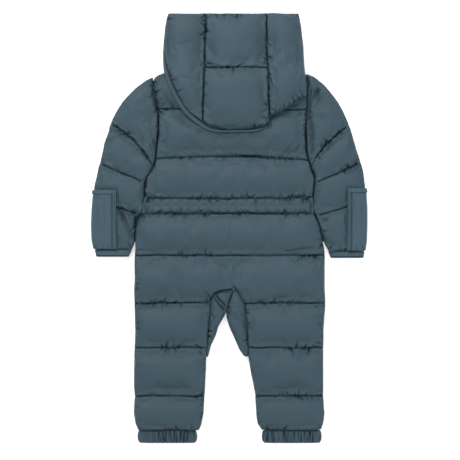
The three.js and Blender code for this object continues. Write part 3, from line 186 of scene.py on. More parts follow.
def finely_cut(node, side, fine, coarse):
    """A node's mesh as one surface, cut into small cells where it shows and smaller ones near its seams."""
    made = bmesh.new()
    made.from_mesh(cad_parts[node].data)
    bmesh.ops.remove_doubles(made, verts=made.verts, dist=1e-6)
    solid = BVHTree.FromBMesh(made)
    bmesh.ops.join_triangles(
        made, faces=made.faces, angle_face_threshold=0.8, angle_shape_threshold=1.2
    )
    for _ in range(7):
        made.normal_update()
        depth = {v: wall_depth(solid, v, side) for v in made.verts}

        def too_long(edge):
            depths = [depth[v] for v in edge.verts if depth[v] is not None]
            if not depths:
                return False
            return edge.calc_length() > 1.35 * (fine if min(depths) < NEAR_SEAM else coarse)

        long_edges = [edge for edge in made.edges if too_long(edge)]
        if not long_edges:
            break
        bmesh.ops.subdivide_edges(made, edges=long_edges, cuts=1, use_grid_fill=True)
    bmesh.ops.dissolve_degenerate(made, dist=1e-5, edges=made.edges)
    many_sided = [face for face in made.faces if len(face.verts) > 4]
    bmesh.ops.triangulate(made, faces=many_sided)
    made.normal_update()
    made.verts.index_update()
    depth = [wall_depth(solid, v, side) for v in made.verts]
    return made, depth


def is_thin(vertex, depth, sewn):
    return depth[vertex.index] is not None and depth[vertex.index] < sewn


def quilt_edges(cut, depth, sewn):
    """The edges that are sewn through inside a panel, away from its outline."""
    return [
        edge
        for edge in cut.edges
        if all(is_thin(v, depth, sewn) for v in edge.verts)
        and all(depth[v.index] is not None for face in edge.link_faces for v in face.verts)
    ]


def seam_places(cut, depth, sewn):
    """Every sewn edge's ends, with the ways that lead from its middle into the thicker cloth beside it."""
    seams = []
    for edge in cut.edges:
        if not all(is_thin(v, depth, sewn) for v in edge.verts):
            continue
        middle = (edge.verts[0].co + edge.verts[1].co) / 2
        ways = [
            (vertex.co - middle).xy.normalized()
            for face in edge.link_faces
            for vertex in face.verts
            if depth[vertex.index] is not None and depth[vertex.index] >= sewn
        ]
        if ways:
            seams.append((edge.verts[0].co.copy(), edge.verts[1].co.copy(), ways))
    return seams


def chained(edges):
    """Edges that meet end to end, as lists of places."""
    beside = {}
    for edge in edges:
        for vertex in edge.verts:
            beside.setdefault(vertex, []).append(edge)
    left = set(edges)
    lines = []
    ends = [v for v in beside if len(beside[v]) == 1]
    for start in ends + list(beside):
        at, line = start, [start.co.copy()]
        while True:
            following = next((edge for edge in beside[at] if edge in left), None)
            if following is None:
                break
            left.discard(following)
            at = following.other_vert(at)
            line.append(at.co.copy())
        if len(line) > 3:
            lines.append(line)
    return lines


def swollen(piece, held, pressure, ease, limit, floor):
    """Swells a piece with Blender's cloth, sewn down at the held points, with up to a share of slack."""
    mesh = piece.data
    rest = [v.co.copy() for v in mesh.vertices]
    pins = piece.vertex_groups.new(name="sewn")
    pins.add(held, 1, "REPLACE")
    slack = piece.vertex_groups.new(name="slack")
    for i, place in enumerate(rest):
        share = 0.5 + 1.3 * noise.noise(place * 24)
        slack.add([i], min(max(share, 0), 1), "REPLACE")
    swell = piece.modifiers.new("swell", "CLOTH")
    settings = swell.settings
    settings.quality = 4
    settings.mass = 0.2
    settings.tension_stiffness = 12
    settings.compression_stiffness = 12
    settings.shear_stiffness = 4
    settings.bending_stiffness = 0.2
    settings.use_pressure = True
    settings.uniform_pressure_force = pressure
    settings.shrink_min = -ease[0]
    settings.shrink_max = -ease[1]
    settings.vertex_group_shrink = "slack"
    settings.vertex_group_mass = "sewn"
    settings.effector_weights.gravity = 0
    swell.collision_settings.use_collision = False
    for step in range(1, 16):
        bpy.context.scene.frame_set(step)
    shown = piece.evaluated_get(bpy.context.evaluated_depsgraph_get()).data
    moved = [v.co.copy() for v in shown.vertices]
    piece.modifiers.remove(swell)
    piece.vertex_groups.clear()
    for i, vertex in enumerate(mesh.vertices):
        move = moved[i] - rest[i]
        most = limit(rest[i]) if callable(limit) else limit
        if move.length > most:
            move *= most / move.length
        vertex.co = rest[i] + move
        if floor is not None:
            vertex.co.z = max(vertex.co.z, floor)
    bpy.context.scene.frame_set(1)


def rounded_off(piece, levels=1):
    """Subdivides a piece and shades it smooth."""
    bpy.ops.object.select_all(action="DESELECT")
    bpy.context.view_layer.objects.active = piece
    piece.select_set(True)
    rounding = piece.modifiers.new("rounding", "SUBSURF")
    rounding.levels = rounding.render_levels = levels
    bpy.ops.object.modifier_apply(modifier="rounding")
    bpy.ops.object.shade_smooth()


def read_places(mesh, kind="co"):
    values = np.empty(len(mesh.vertices) * 3)
    mesh.vertices.foreach_get(kind, values)
    return values.reshape(-1, 3)


def trough(places, start, end, width, depth):
    """How far a crease from one place to another sinks each point, and how much painted shade it puts on each point.
    """
    run = np.array([end[0] - start[0], end[1] - start[1]])
    length = float(np.hypot(*run))
    run = run / length
    offset = places[:, :2] - np.array([start[0], start[1]])
    along = offset @ run / length
    aside = (offset[:, 0] * -run[1] + offset[:, 1] * run[0]) / width
    fade = np.clip(along / 0.15 + 0.5, 0, 1) * np.clip((1 - along) / 0.75, 0, 1)
    sunk = depth * fade * (np.exp(-(aside**2)) - 0.55 * np.exp(-((aside - 1.7) ** 2)))
    shade_painted = fade * np.exp(-((aside / 0.75) ** 2)) * min(max(depth, 0) / FULL_SHADE_DEPTH, 1)
    return sunk, shade_painted


# Crease depth at which the painted shade is full.
FULL_SHADE_DEPTH = 0.0034
SHOULDER_HEIGHT = 0.0038
SHOULDER_NEAR = 0.0011
SHOULDER_FAR = 0.0085
# Half width of the painted shade along each seam.
SEAM_SHADE_HALF = 0.0014
WANDER = 0.0013
WANDER_REACH = 0.007
PUCKER_SPACING = 0.006
PUCKER_DEPTH = 0.0034
LAID_MIDDLE = 0.0095
PLUMP_DEPTH = 0.006
EVEN_PASSES = 14


def puckers_along(seams, seed, spacing):
    """Short uneven folds that start at a seam, crowded in some stretches and few in others."""
    dice = random.Random(seed)
    made = []
    for start, end, ways in seams:
        middle = (start + end) / 2
        crowd = min(max(0.35 + 2.1 * noise.noise(middle * 19), 0.03), 1)
        if dice.random() > (end - start).length * (0.1 + 1.6 * crowd) / spacing:
            continue
        way = dice.choice(ways).copy()
        way.rotate(Matrix.Rotation(dice.uniform(-0.8, 0.8), 2))
        reach = dice.uniform(0.005, 0.009) + 0.012 * crowd * dice.random() ** 2
        depth = PUCKER_DEPTH * dice.uniform(0.3, 1) * (0.35 + 0.65 * crowd)
        made.append((middle.xy, middle.xy + way * reach, dice.uniform(0.0012, 0.0024), depth))
    return made


def gathered(piece, seams, creases, side, floor=None, plump=1, meet=0):
    """Draws the cloth in at its seams: steep shoulders beside each seam, cut by the creases given, with painted
    shade along the seams and in the creases. The sides move out by `meet`, so that sewn pieces touch."""
    mesh = piece.data
    places = read_places(mesh)
    normals = read_places(mesh, "normal")
    facing = np.clip(normals[:, 2] * (side or 1) * 2, 0, 1)
    if side >= 0:
        facing *= places[:, 2] > LAID_MIDDLE
    if callable(meet):
        meet = np.array([[meet(Vector(place))] for place in places])
    places[:, :2] += normals[:, :2] * meet
    sunk = np.zeros(len(places))
    shade_painted = np.zeros(len(places))
    for crease in creases:
        more, shade = trough(places, *crease)
        sunk += more
        shade_painted = np.maximum(shade_painted, shade)
    lift = np.zeros(len(places))
    drift = np.zeros((len(places), 2))
    if seams:
        near = KDTree(3 * len(seams))
        for i, (start, end, _) in enumerate(seams):
            for j in range(3):
                near.insert(start.lerp(end, (j + 0.5) / 3), 3 * i + j)
        near.balance()
        for i, place in enumerate(places):
            if facing[i] == 0:
                continue
            spot = Vector(place)
            distance = near.find(spot)[2]
            if distance > 2.5 * SHOULDER_FAR:
                continue
            rise = (1 - math.exp(-distance / SHOULDER_NEAR)) * math.exp(-((distance / SHOULDER_FAR) ** 2))
            lift[i] = plump * SHOULDER_HEIGHT * rise * (1 + 0.7 * noise.noise(spot * 45))
            wander = noise.noise_vector(spot * 38)
            drift[i] = wander.xy * WANDER * math.exp(-((distance / WANDER_REACH) ** 2))
            # Painted shade along the seams, uneven in strength.
            seam_shade_strength = min(max(0.62 + 0.9 * noise.noise(spot * 52), 0.25), 1)
            shade_painted[i] = max(shade_painted[i], seam_shade_strength * math.exp(-((distance / SEAM_SHADE_HALF) ** 2)))
    places[:, :2] += drift
    places[:, 2] += (lift - sunk) * facing * (side or 1)
    if floor is not None:
        places[:, 2] = np.maximum(places[:, 2], floor)
    mesh.vertices.foreach_set("co", places.ravel())
    painted_crease_shade = mesh.attributes.new("painted_crease_shade", "FLOAT", "POINT")
    painted_crease_shade.data.foreach_set("value", shade_painted * facing)
    mesh.update()


def placed(piece, node, material):
    """Gives a piece its material and puts it in its node's place."""
    piece.data.materials.clear()
    piece.data.materials.append(material)
    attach(piece, "garment")
    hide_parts(node)


def padded(
    node,
    name,
    side=1,
    sewn=0.0028,
    pressure=4,
    ease=(0.02, 0.1),
    limit=0.006,
    floor=None,
    cells=(FINE, COARSE),
    creases=(),
    spacing=PUCKER_SPACING,
    plump=1,
    meet=0.0004,
):
    """A padded piece: the node's form, sewn down where it is thin, swollen and puckered by Blender's cloth."""
    cut, depth = finely_cut(node, side, *cells)
    firm = cut.edges.layers.float.new("crease_edge")
    thick = [v for v in cut.verts if depth[v.index] is not None and depth[v.index] > PLUMP_DEPTH]
    for _ in range(EVEN_PASSES):
        bmesh.ops.smooth_vert(cut, verts=thick, factor=0.5, use_axis_z=True)
    held = [v.index for v in cut.verts if depth[v.index] is None or depth[v.index] < sewn]
    quilted = quilt_edges(cut, depth, sewn)
    lines = chained(quilted)
    seams = seam_places(cut, depth, sewn)
    for edge in quilted:
        edge[firm] = 1
    mesh = bpy.data.meshes.new(name)
    cut.to_mesh(mesh)
    cut.free()
    piece = bpy.data.objects.new(name, mesh)
    bpy.context.scene.collection.objects.link(piece)
    swollen(piece, held, pressure, ease, limit, floor)
    rounded_off(piece)
    puckers = puckers_along(seams, name, spacing)
    gathered(piece, seams, [*puckers, *creases], side, floor, plump, meet)
    sewn_lines["front" if side < 0 else "back"] += lines
    placed(piece, node, shell_nylon)
    return piece


def in_mm(*table):
    """Creases given in millimetres: start x, start y, end x, end y, half width, depth. Each one also paints
    shade along its middle.
    """
    return [((a / 1000, b / 1000), (c / 1000, d / 1000), w / 1000, h / 1000) for a, b, c, d, w, h in table]


# The wide shallow creases paint the shadow below the hood's edge and a darker band along the third quilt line.
BACK_CREASES = in_mm(
    (-120, 228, -112, 216, 1.4, 2.2),
    (-118, 213, -107, 222, 1.3, 2),
    (-112, 230, -105, 214, 1.5, 1.6),
    (-126, 222, -121, 209, 1.6, 2),
    (97, 131, 118, 158, 1.8, 1.8),
    (115, 131, 130, 156, 1.8, 2),
    (104, 130, 116, 142, 1.4, 1.6),
    (128, 205, 116, 190, 2.4, 1.8),
    (-118, 150, -100, 158, 2.2, 1),
    (64, 161, -6, 158, 9, 0.8),
    (-6, 158, 70, 161, 9, 0.8),
    (8, 158, -50, 167, 8, 0.9),
    (-52, 168, 4, 158, 8, 0.9),
    (-44, 165, -82, 187, 8, 1.1),
    (-82, 188, -46, 166, 8, 1.1),
    (-74, 182, -106, 214, 8, 1.1),
    (-106, 216, -76, 184, 8, 1.1),
    (-100, 208, -121, 258, 8, 1.1),
    (60, 126, -40, 127.5, 2.6, 2.4),
    (20, 124.5, 104, 123.5, 2.2, 2),
    (-20, 176, 55, 170, 7, 1.2),
)
padded("bodice_back", "back_bodice", creases=BACK_CREASES)


# Waist casing
# A narrow band of nylon over elastic, sewn between the bodice and the seat, which gathers it in shallow folds.
padded(
    "waist_casing",
    "waist_casing_band",
    sewn=0.0034,
    pressure=1.5,
    ease=(0.02, 0.12),
    limit=0.003,
    spacing=0.03,
    plump=0.5,
    meet=0.0012,
)


# Back trousers
# Seat and both back legs are one quilted panel, sewn through in five rows, with the crotch seams inside the legs.
SEAT_CREASES = in_mm(
    (100, -41, 160, -32, 1.6, 2),
    (-160, -38, -120, -41, 1.5, 1.4),
    (148, -49, 168, -60, 1.8, 1.8),
    (-158, -136, -132, -130, 1.5, 1.6),
    (-60, -205, -42, -214, 1.8, 2.4),
    (-52, -216, -44, -226, 1.6, 2),
    (164, -204, 140, -198, 1.6, 1.6),
    (150, -138, 166, -134, 1.8, 2),
    (36, -270, 42, -292, 1.8, 1.4),
)
padded("trouser_back", "back_trousers", creases=SEAT_CREASES)


# Crotch gusset
# Two folded padded strips run from the crotch's peak down the inside of each leg and meet at a centre seam.
GUSSET_CREASES = {
    "left": in_mm(
        (-22.8, -117.8, -6, -137, 1.5, 3.2),
        (-5, -138, -22.8, -118, 1.5, 3),
        (-26, -123.4, -7.5, -146, 1.5, 3.2),
        (-8, -144, -22, -130, 2.2, 2.6),
        (-38, -180, -26, -182, 1.9, 3.2),
        (-38, -189, -29, -193, 2.2, 3.4),
        (-30, -150, -22, -172, 1.8, 1.2),
    ),
    "right": in_mm(
        (34, -196, 20, -200, 1.9, 2.8),
        (-2, -140, 10, -138, 1.6, 2),
        (12, -150, 20, -180, 2.2, 1),
        (-2, -146, 4, -156, 2.4, 2.2),
    ),
}
for hand in ("left", "right"):
    padded(
        "gusset_" + hand,
        "crotch_gusset_" + hand,
        pressure=3,
        limit=0.003,
        cells=(0.002, 0.003),
        creases=GUSSET_CREASES[hand],
        spacing=0.02,
        plump=0.35,
        meet=0.0009,
    )


# Fronts
# Two quilted panels lie on the surface, one each side of the zip, and the surface presses their channels flat.
FRONT_CREASES = {
    "left": in_mm(
        (-16, 172, -34, 180, 1.8, 2),
        (-16, 96, -30, 90, 1.6, 1.8),
        (-118, 140, -100, 150, 2, 2),
        (-150, -20, -128, -14, 1.8, 1.8),
        (-154, -120, -130, -128, 1.8, 2),
        (-50, -210, -68, -216, 1.8, 1.8),
    ),
    "right": in_mm(
        (22, 150, 40, 144, 1.8, 2),
        (22, 40, 36, 48, 1.6, 1.8),
        (124, 170, 104, 162, 2, 2),
        (156, -40, 134, -46, 1.8, 1.8),
        (160, -170, 138, -162, 1.8, 2),
        (56, -250, 74, -244, 1.8, 1.8),
    ),
}
for hand in ("left", "right"):
    padded(
        "front_" + hand,
        "front_panel_" + hand,
        side=-1,
        floor=0,
        cells=(0.0045, 0.009),
        limit=0.003,
        creases=FRONT_CREASES[hand],
    )


# Sleeves
# Each sleeve is a quilted tube, laid flat, with its lines fanned from the armpit. Under the mitt the cloth lies
# close to the padding, because the flap holds it.
MITTS = {"left": -0.1972, "right": 0.2068}
MITT_TOPS = {"left": 0.0665, "right": 0.0695}
# The wide creases beside each armhole paint the shade where the sleeve dips beside the body.
SLEEVE_CREASES = {
    "left": in_mm(
        (-194, 36, -168, -20, 5.5, 3.4),
        (-170, 30, -160, 8, 7, 2.2),
        (-190, 36, -176, 27, 2.2, 2.6),
        (-178, 24, -166, 4, 2.6, 2),
        (-132, 156, -125, 122, 2, 2.2),
        (-139, 150, -130, 118, 1.8, 1.6),
        (-196, 178, -188, 166, 1.6, 2),
        (-172, -34, -178, -22, 1.8, 1.8),
        (-134, 252, -127, 188, 4, 2),
    ),
    "right": in_mm(
        (158, 246, 141, 212, 4, 3.4),
        (144, 244, 139, 200, 2, 2.4),
        (160, 232, 148, 205, 2.6, 1.8),
        (141, 118, 152, 128, 1.8, 2),
        (166, 12, 182, 20, 2, 1.6),
        (176, -36, 184, -24, 1.8, 1.8),
        (139, 226, 146, 128, 4.5, 2.2),
        (147, 130, 139, 214, 4.5, 2),
    ),
}
for hand in ("left", "right"):
    outside = -1 if hand == "left" else 1

    def sleeve_limit(place, hand=hand, outside=outside):
        covered = place.y < MITT_TOPS[hand] + 0.004 and (place.x - MITTS[hand]) * outside > -0.004
        return 0.0002 if covered else 0.005

    def sleeve_meet(place, limit=sleeve_limit):
        return min(limit(place), 0.0008)

    padded(
        "sleeve_" + hand,
        "sleeve_" + hand + "_padded",
        side=0,
        floor=0,
        limit=sleeve_limit,
        meet=sleeve_meet,
        creases=SLEEVE_CREASES[hand],
    )


# Armhole seams
# The cut edges of each armhole are turned in and overlocked, and this narrow strip of nylon closes the joint
# between sleeve and body. It is painted dark, as the shade down in that joint. Below the armpit it is the sleeve's
# own seam allowance, on the side beside the body.
TURNED_WIDTH = 0.0066
TURNED_LOW = 0.0002
TURNED_HIGH = 0.0015
TURNED_OUT = 0.0018
WALL_TOP = 0.0125
BODY_HALF = 0.1
ROW = 0.004
ARM_TOPS = {"left": 0.2635, "right": 0.2705}
ARM_END = -0.024
painted_shade_seam = cloth_material("painted_shade_seam_nylon", (0.02, 0.036, 0.046), (0.015, 0.028, 0.036), 0.7, crinkle=0.2)
for hand in ("left", "right"):
    outside = -1 if hand == "left" else 1
    outline = {}
    for node in ("bodice_back", "waist_casing", "trouser_back"):
        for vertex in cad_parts[node].data.vertices:
            x, y, z = vertex.co
            row = round(y / ROW)
            furthest = max(BODY_HALF, outline.get(row, (0, 0))[1] * outside)
            if abs(z - WALL_TOP) < 1e-5 and x * outside > furthest:
                outline[row] = (y, x)
    row_places, edge_places = zip(*sorted(outline.values()))
    ring = []
    for y in np.arange(ARM_END, ARM_TOPS[hand], ROW):
        x = float(np.interp(y, row_places, edge_places))
        inner = x + outside * (TURNED_OUT - TURNED_WIDTH / 2)
        outer = x + outside * (TURNED_OUT + TURNED_WIDTH / 2)
        ring.append(
            [(inner, y, TURNED_LOW), (outer, y, TURNED_LOW), (outer, y, TURNED_HIGH), (inner, y, TURNED_HIGH)]
        )
    corners = [corner for four in ring for corner in four]
    faces = [
        (4 * i + j, 4 * i + (j + 1) % 4, 4 * i + 4 + (j + 1) % 4, 4 * i + 4 + j)
        for i in range(len(ring) - 1)
        for j in range(4)
    ]
    faces += [(3, 2, 1, 0), tuple(4 * (len(ring) - 1) + j for j in range(4))]
    mesh = bpy.data.meshes.new("armhole_seam_" + hand)
    mesh.from_pydata(corners, [], faces)
    seam = bpy.data.objects.new("armhole_seam_" + hand, mesh)
    bpy.context.scene.collection.objects.link(seam)
    bpy.ops.object.select_all(action="DESELECT")
    bpy.context.view_layer.objects.active = seam
    seam.select_set(True)
    bpy.ops.object.mode_set(mode="EDIT")
    bpy.ops.mesh.select_all(action="SELECT")
    bpy.ops.mesh.normals_make_consistent(inside=False)
    bpy.ops.object.mode_set(mode="OBJECT")
    mesh.materials.append(painted_shade_seam)
    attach(seam, "garment")


# Mitt flaps and bindings
# A plain nylon flap, coloured a little paler than the shell nylon, folds over each hand. Elastic binding with a
# little more teal edges its top and its bound side.
flap_nylon = cloth_material("flap_nylon", (0.044, 0.084, 0.111), (0.037, 0.071, 0.094), 0.62, crinkle=0.4)
elastic = cloth_material("elastic_binding", (0.044, 0.086, 0.109), (0.036, 0.072, 0.092), 0.66, 1100, 0.25)


def thin_cloth(node, name, material, cell=0.005, creases=(), wave=0.0003, meet=0):
    """A thin piece: the node's form cut finely, with slight waves in its surface and the creases given."""
    cut = bmesh.new()
    cut.from_mesh(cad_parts[node].data)
    bmesh.ops.remove_doubles(cut, verts=cut.verts, dist=1e-6)
    bmesh.ops.join_triangles(
        cut, faces=cut.faces, angle_face_threshold=0.8, angle_shape_threshold=1.2
    )
    for _ in range(5):
        long_edges = [edge for edge in cut.edges if edge.calc_length() > 1.4 * cell]
        if not long_edges:
            break
        bmesh.ops.subdivide_edges(cut, edges=long_edges, cuts=1, use_grid_fill=True)
    bmesh.ops.dissolve_degenerate(cut, dist=1e-5, edges=cut.edges)
    bmesh.ops.triangulate(cut, faces=[face for face in cut.faces if len(face.verts) > 4])
    firm = cut.edges.layers.float.new("crease_edge")
    for edge in cut.edges:
        if edge.is_manifold and edge.calc_face_angle() > 0.9:
            edge[firm] = 0.7
    for vertex in cut.verts:
        lift = noise.noise(Vector((vertex.co.x * 60, vertex.co.y * 22, 0))) * wave
        vertex.co.z = max(vertex.co.z + lift, 0)
    mesh = bpy.data.meshes.new(name)
    cut.to_mesh(mesh)
    cut.free()
    piece = bpy.data.objects.new(name, mesh)
    bpy.context.scene.collection.objects.link(piece)
    rounded_off(piece)
    gathered(piece, [], creases, 1, meet=meet)
    placed(piece, node, material)
    return piece


# The first creases run along the flap's bound side and paint a dark line of shade there.
MITT_CREASES = {
    "left": in_mm(
        (-204.6, 64, -204.6, -60, 1.2, 2.4),
        (-204.6, -40, -204.6, 70, 1.2, 2),
        (-236, -36, -230, -27, 1.6, 1.8),
        (-222, -37, -221, -25, 1.4, 1.2),
        (-212, -37, -210, -28, 1.4, 1.4),
        (-232, 52, -212, 50, 2.6, 0.7),
        (-218, 48, -217, -20, 4, 0.5),
        (-229, 40, -230, -20, 4, 0.5),
    ),
    "right": in_mm(
        (214, 66, 214, -60, 1.2, 2.4),
        (214, -44, 214, 72, 1.2, 2),
        (237, -38, 231, -28, 1.6, 1.8),
        (224, -40, 223, -28, 1.4, 1.4),
        (220, 50, 222, -20, 4, 0.5),
        (231, 44, 230, -10, 4, 0.5),
    ),
}
# The creases along the binding's sides paint thin dark lines of shade.
EDGE_CREASES = {
    "left": in_mm(
        (-203.4, 58, -203.4, -60, 1.3, 2.4),
        (-203.4, -40, -203.4, 66, 1.3, 2),
        (-197.2, 66, -197.2, -60, 1.6, 2.8),
        (-199, 68, -198, 30, 2.4, 1.6),
    ),
    "right": in_mm(
        (212.8, 60, 212.8, -60, 1.3, 2.4),
        (212.8, -44, 212.8, 68, 1.3, 2),
        (206.6, 68, 206.6, -60, 1.6, 2.8),
    ),
}
for hand in ("left", "right"):
    width = 0.108 if hand == "left" else 0.088
    flap = thin_cloth(
        "mitt_" + hand,
        "mitt_flap_" + hand,
        flap_nylon,
        cell=0.0026,
        creases=MITT_CREASES[hand],
    )
    thin_cloth(
        "mitt_binding_" + hand,
        "mitt_edge_" + hand,
        elastic,
        cell=0.002,
        creases=EDGE_CREASES[hand],
    )


# Sleeve ends
# A short elastic binding closes each sleeve below the mitt, and its lower edge turns under, with painted shade along
# it.
END_CREASES = {
    "left": in_mm((-236, -49, -178, -49.8, 1.5, 3.2), (-180, -49.4, -240, -49.2, 1.3, 2.2)),
    "right": in_mm((180, -51.2, 244, -50.8, 1.5, 3), (240, -51, 184, -51, 1.3, 2.2)),
}
for hand in ("left", "right"):
    thin_cloth(
        "sleeve_cuff_" + hand,
        "sleeve_end_" + hand,
        elastic,
        cell=0.002,
        creases=END_CREASES[hand],
        meet=0.0006,
    )


# Leg ends
# Elastic gathers the nylon of each ankle into a row of uneven upright folds, each carrying painted shade.
ANKLES = {"left": (-0.158, -0.06), "right": (0.062, 0.16)}
ANKLE_HIGH = -0.3555
ANKLE_LOW = -0.377
for hand in ("left", "right"):
    dice = random.Random("ankle " + hand)
    gathers = []
    at, end = ANKLES[hand]
    while at < end:
        lean = dice.uniform(-0.003, 0.003)
        depth = dice.uniform(0.0012, 0.0032)
        width = dice.uniform(0.0009, 0.0016)
        if dice.random() < 0.75:
            gathers.append(((at, ANKLE_HIGH), (at + lean, ANKLE_LOW - 0.006), width, depth))
        if dice.random() < 0.5:
            gathers.append(((at + 0.004, ANKLE_LOW), (at + 0.004 - lean, ANKLE_HIGH + 0.004), width, depth))
        at += dice.uniform(0.005, 0.013)
    thin_cloth(
        "leg_cuff_" + hand,
        "leg_end_" + hand,
        shell_nylon,
        cell=0.0022,
        creases=gathers,
        wave=0.0008,
    )


# Hood
# Three padded panels lie over the face side: two plain sides and a middle one with a cross quilt line. A binding
# of the shell nylon edges the hood where it hangs over the back, and the right side is gathered into its seam.
# The wide creases at the middle panel's lower edge paint the shade where it rounds down over the bodice.
HOOD_CREASES = {
    "left": in_mm((-44, 289, -54, 276, 1.8, 2), (-44, 214, -52, 221, 1.5, 1.6), (-108, 330, -104, 260, 3, 0.9)),
    "centre": in_mm(
        (-40, 288, -18, 284, 1.8, 3),
        (-41, 279, -28, 281, 1.4, 1.8),
        (66, 296, 61, 284, 1.6, 2.4),
        (68, 276, 60, 280, 1.5, 2),
        (68, 264, 63, 256, 1.6, 1.6),
        (66, 330, 60, 326, 1.5, 1.6),
        (70, 216, 58, 210, 1.6, 2.2),
        (66, 205, 50, 196, 1.8, 1.6),
        (-44, 232, -36, 228, 1.4, 1.6),
        (-46, 176, 60, 174, 6, 1.1),
        (64, 217, 69, 206, 1.8, 3.2),
        (58, 193, 72, 186, 2, 2.4),
        (64, 174, 73, 186, 2.2, 2.2),
        (62, 173, -30, 174, 6, 1.3),
    ),
    "right": in_mm(
        (69, 300, 78, 294, 1.8, 2.2),
        (69, 322, 75, 316, 1.5, 1.8),
        (71, 262, 76, 240, 1.8, 2.2),
        (126, 324, 130, 270, 2.6, -1.6),
        (130, 285, 116, 238, 2.6, -1.6),
        (78, 196, 84, 214, 1.8, 2.4),
        (73, 196, 94, 190, 1.8, 2.8),
        (73, 207, 84, 203, 1.5, 2.4),
        (88, 200, 90, 216, 1.5, 2.2),
        (97, 205, 95, 222, 1.8, 2.6),
        (106, 211, 101, 226, 1.5, 2),
        (114, 217, 108, 236, 2, 2.8),
        (122, 223, 113, 238, 1.6, 2.4),
        (129, 227, 122, 246, 2, 2.6),
    ),
}
for panel in ("left", "centre", "right"):
    padded("hood_" + panel, "hood_panel_" + panel, sewn=0.0034, creases=HOOD_CREASES[panel], spacing=0.011)
RIM_CREASES = in_mm((80, 190, 58, 166, 3, 3), (56, 169, 74, 183, 2, 2.4))
thin_cloth(
    "hood_rim",
    "hood_binding",
    shell_nylon,
    cell=0.003,
    creases=RIM_CREASES,
)
FACE_CREASES = in_mm(
    (-104, 300, -84, 292, 1.8, 2),
    (-110, 262, -92, 268, 1.6, 1.8),
    (-70, 366, -64, 350, 1.8, 2),
    (86, 360, 80, 344, 1.8, 2.2),
    (118, 318, 102, 308, 1.6, 1.8),
    (112, 246, 98, 256, 1.8, 1.6),
)
padded(
    "hood_front",
    "hood_face_side",
    side=-1,
    floor=0,
    cells=(0.0045, 0.009),
    limit=0.003,
    creases=FACE_CREASES,
)


# Quilting thread
# Each quilt line is a row of lock stitches sunk in the groove that they draw. The thread is painted far darker than
# the cloth, as the shade in that groove.
STITCH = 0.0027
STITCH_GAP = 0.0012
THREAD = 0.00028
bpy.ops.object.select_all(action="DESELECT")
bpy.ops.mesh.primitive_uv_sphere_add(segments=6, ring_count=5, radius=1)
stitch = bpy.context.object
stitch_form = [v.co.copy() for v in stitch.data.vertices]
stitch_faces = [tuple(face.vertices) for face in stitch.data.polygons]
bpy.data.objects.remove(stitch)


def stitched(lines, up):
    """Places and turns of the stitches along sewn lines."""
    made = []
    for line in lines:
        wait = 0
        for before, after in zip(line, line[1:]):
            step = after - before
            gone = wait
            while gone < step.length:
                made.append((before + step.normalized() * gone + Vector((0, 0, up)), step.normalized()))
                gone += STITCH + STITCH_GAP
            wait = gone - step.length
    return made


corners, faces = [], []
for place, run in stitched(sewn_lines["back"], 0.0003) + stitched(sewn_lines["front"], -0.0003):
    first = len(corners)
    turn = run.to_track_quat("Z", "Y")
    for point in stitch_form:
        shaped = Vector((point.x * THREAD, point.y * THREAD, point.z * STITCH / 2))
        corners.append(place + turn @ shaped)
    faces += [tuple(first + i for i in face) for face in stitch_faces]
mesh = bpy.data.meshes.new("quilting_thread")
mesh.from_pydata(corners, [], faces)
thread_row = bpy.data.objects.new("quilting_thread", mesh)
bpy.context.scene.collection.objects.link(thread_row)
shade_dark_thread = cloth_material("shade_dark_thread", (0.02, 0.036, 0.047), (0.014, 0.027, 0.035), 0.6, 3000, 0.1)
mesh.materials.append(shade_dark_thread)
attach(thread_row, "garment")


# Front zip
# A woven tape carries two rows of teeth, a slider and a flat pull, all of metal painted dark. The teeth of one row
# fit between those of the other.
tape = cloth_material("zip_tape_weave", (0.045, 0.075, 0.092), (0.03, 0.052, 0.065), 0.75, 900, 0.1)
painted = bpy.data.materials.new("painted_metal")
painted.use_nodes = True
Link.tree = painted.node_tree
paint = Link.tree.nodes["Principled BSDF"]
grain = Link.node("TexNoise", None, {"Vector": Link.node("TexCoord", output=3), "Scale": 600, "Detail": 3})
Link.tree.links.new((grain * 0.12 + 0.3).socket, paint.inputs["Roughness"])
paint.inputs["Base Color"].default_value = (0.03, 0.035, 0.04, 1)
paint.inputs["Metallic"].default_value = 0.9
for node, finish in (("front_zip", tape), ("zip_slider", painted), ("zip_pull", painted)):
    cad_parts[node].data.materials.clear()
    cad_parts[node].data.materials.append(finish)

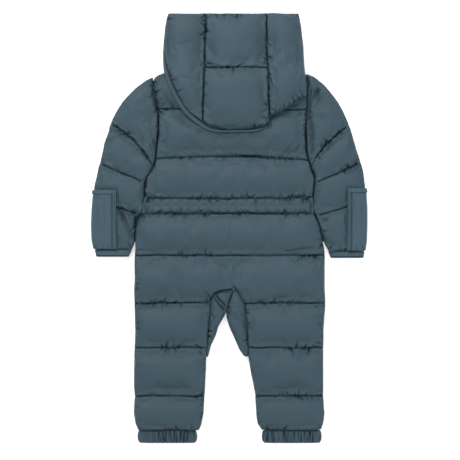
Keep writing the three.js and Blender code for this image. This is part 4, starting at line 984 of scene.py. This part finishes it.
ZIP_MIDDLE = 0.003
TOOTH_PITCH = 0.003
TOOTH_HALVES = (0.0015, 0.0006, 0.00025)
TOOTH_HEIGHT = 0.0069
TOOTH_SIDE = 0.001
CHAIN_START = -0.0995
CHAIN_END = 0.2365
SLIDER_START = 0.2105
SLIDER_END = 0.2275
CUBE = [(a, b, c) for a in (-1, 1) for b in (-1, 1) for c in (-1, 1)]
CUBE_FACES = ((0, 1, 3, 2), (4, 6, 7, 5), (0, 4, 5, 1), (2, 3, 7, 6), (0, 2, 6, 4), (1, 5, 7, 3))
corners, faces = [], []
for i in range(int((CHAIN_END - CHAIN_START) / TOOTH_PITCH * 2)):
    y = CHAIN_START + i * TOOTH_PITCH / 2
    if SLIDER_START < y < SLIDER_END:
        continue
    x = ZIP_MIDDLE + (TOOTH_SIDE if i % 2 else -TOOTH_SIDE)
    faces += [tuple(len(corners) + j for j in face) for face in CUBE_FACES]
    corners += [
        (x + a * TOOTH_HALVES[0], y + b * TOOTH_HALVES[1], TOOTH_HEIGHT + c * TOOTH_HALVES[2]) for a, b, c in CUBE
    ]
mesh = bpy.data.meshes.new("zip_teeth")
mesh.from_pydata(corners, [], faces)
teeth = bpy.data.objects.new("zip_teeth", mesh)
bpy.context.scene.collection.objects.link(teeth)
mesh.materials.append(painted)
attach(teeth, "garment")


# Floor and lights
bpy.ops.mesh.primitive_plane_add(size=6, location=(0, 0, -0.001))
floor = bpy.context.object
floor.name = "floor"
white = bpy.data.materials.new("pale_floor")
white.use_nodes = True
backdrop = white.node_tree.nodes["Principled BSDF"]
backdrop.inputs["Base Color"].default_value = (0.97, 0.97, 0.97, 1)
backdrop.inputs["Roughness"].default_value = 0.9
backdrop.inputs["Emission Color"].default_value = (1, 1, 1, 1)
backdrop.inputs["Emission Strength"].default_value = 0.4
floor.data.materials.append(white)


def soft_light(name, place, aim, size, power):
    bpy.ops.object.light_add(type="AREA", location=place)
    lamp = bpy.context.object
    lamp.name = name
    lamp.data.size = size
    lamp.data.energy = power
    direction = Vector(aim) - Vector(place)
    lamp.rotation_euler = direction.to_track_quat("-Z", "Y").to_euler()


soft_light("window", (-0.5, 1.45, 1.75), (0, 0, 0), 1.2, 36)
soft_light("fill", (0.9, -1.2, 1.9), (0, 0, 0), 1.8, 14)
world = bpy.data.worlds.new("studio")
bpy.context.scene.world = world
world.use_nodes = True
world.node_tree.nodes["Background"].inputs[0].default_value = (1, 1, 1, 1)
world.node_tree.nodes["Background"].inputs[1].default_value = 0.72
bpy.context.scene.view_settings.view_transform = "Standard"
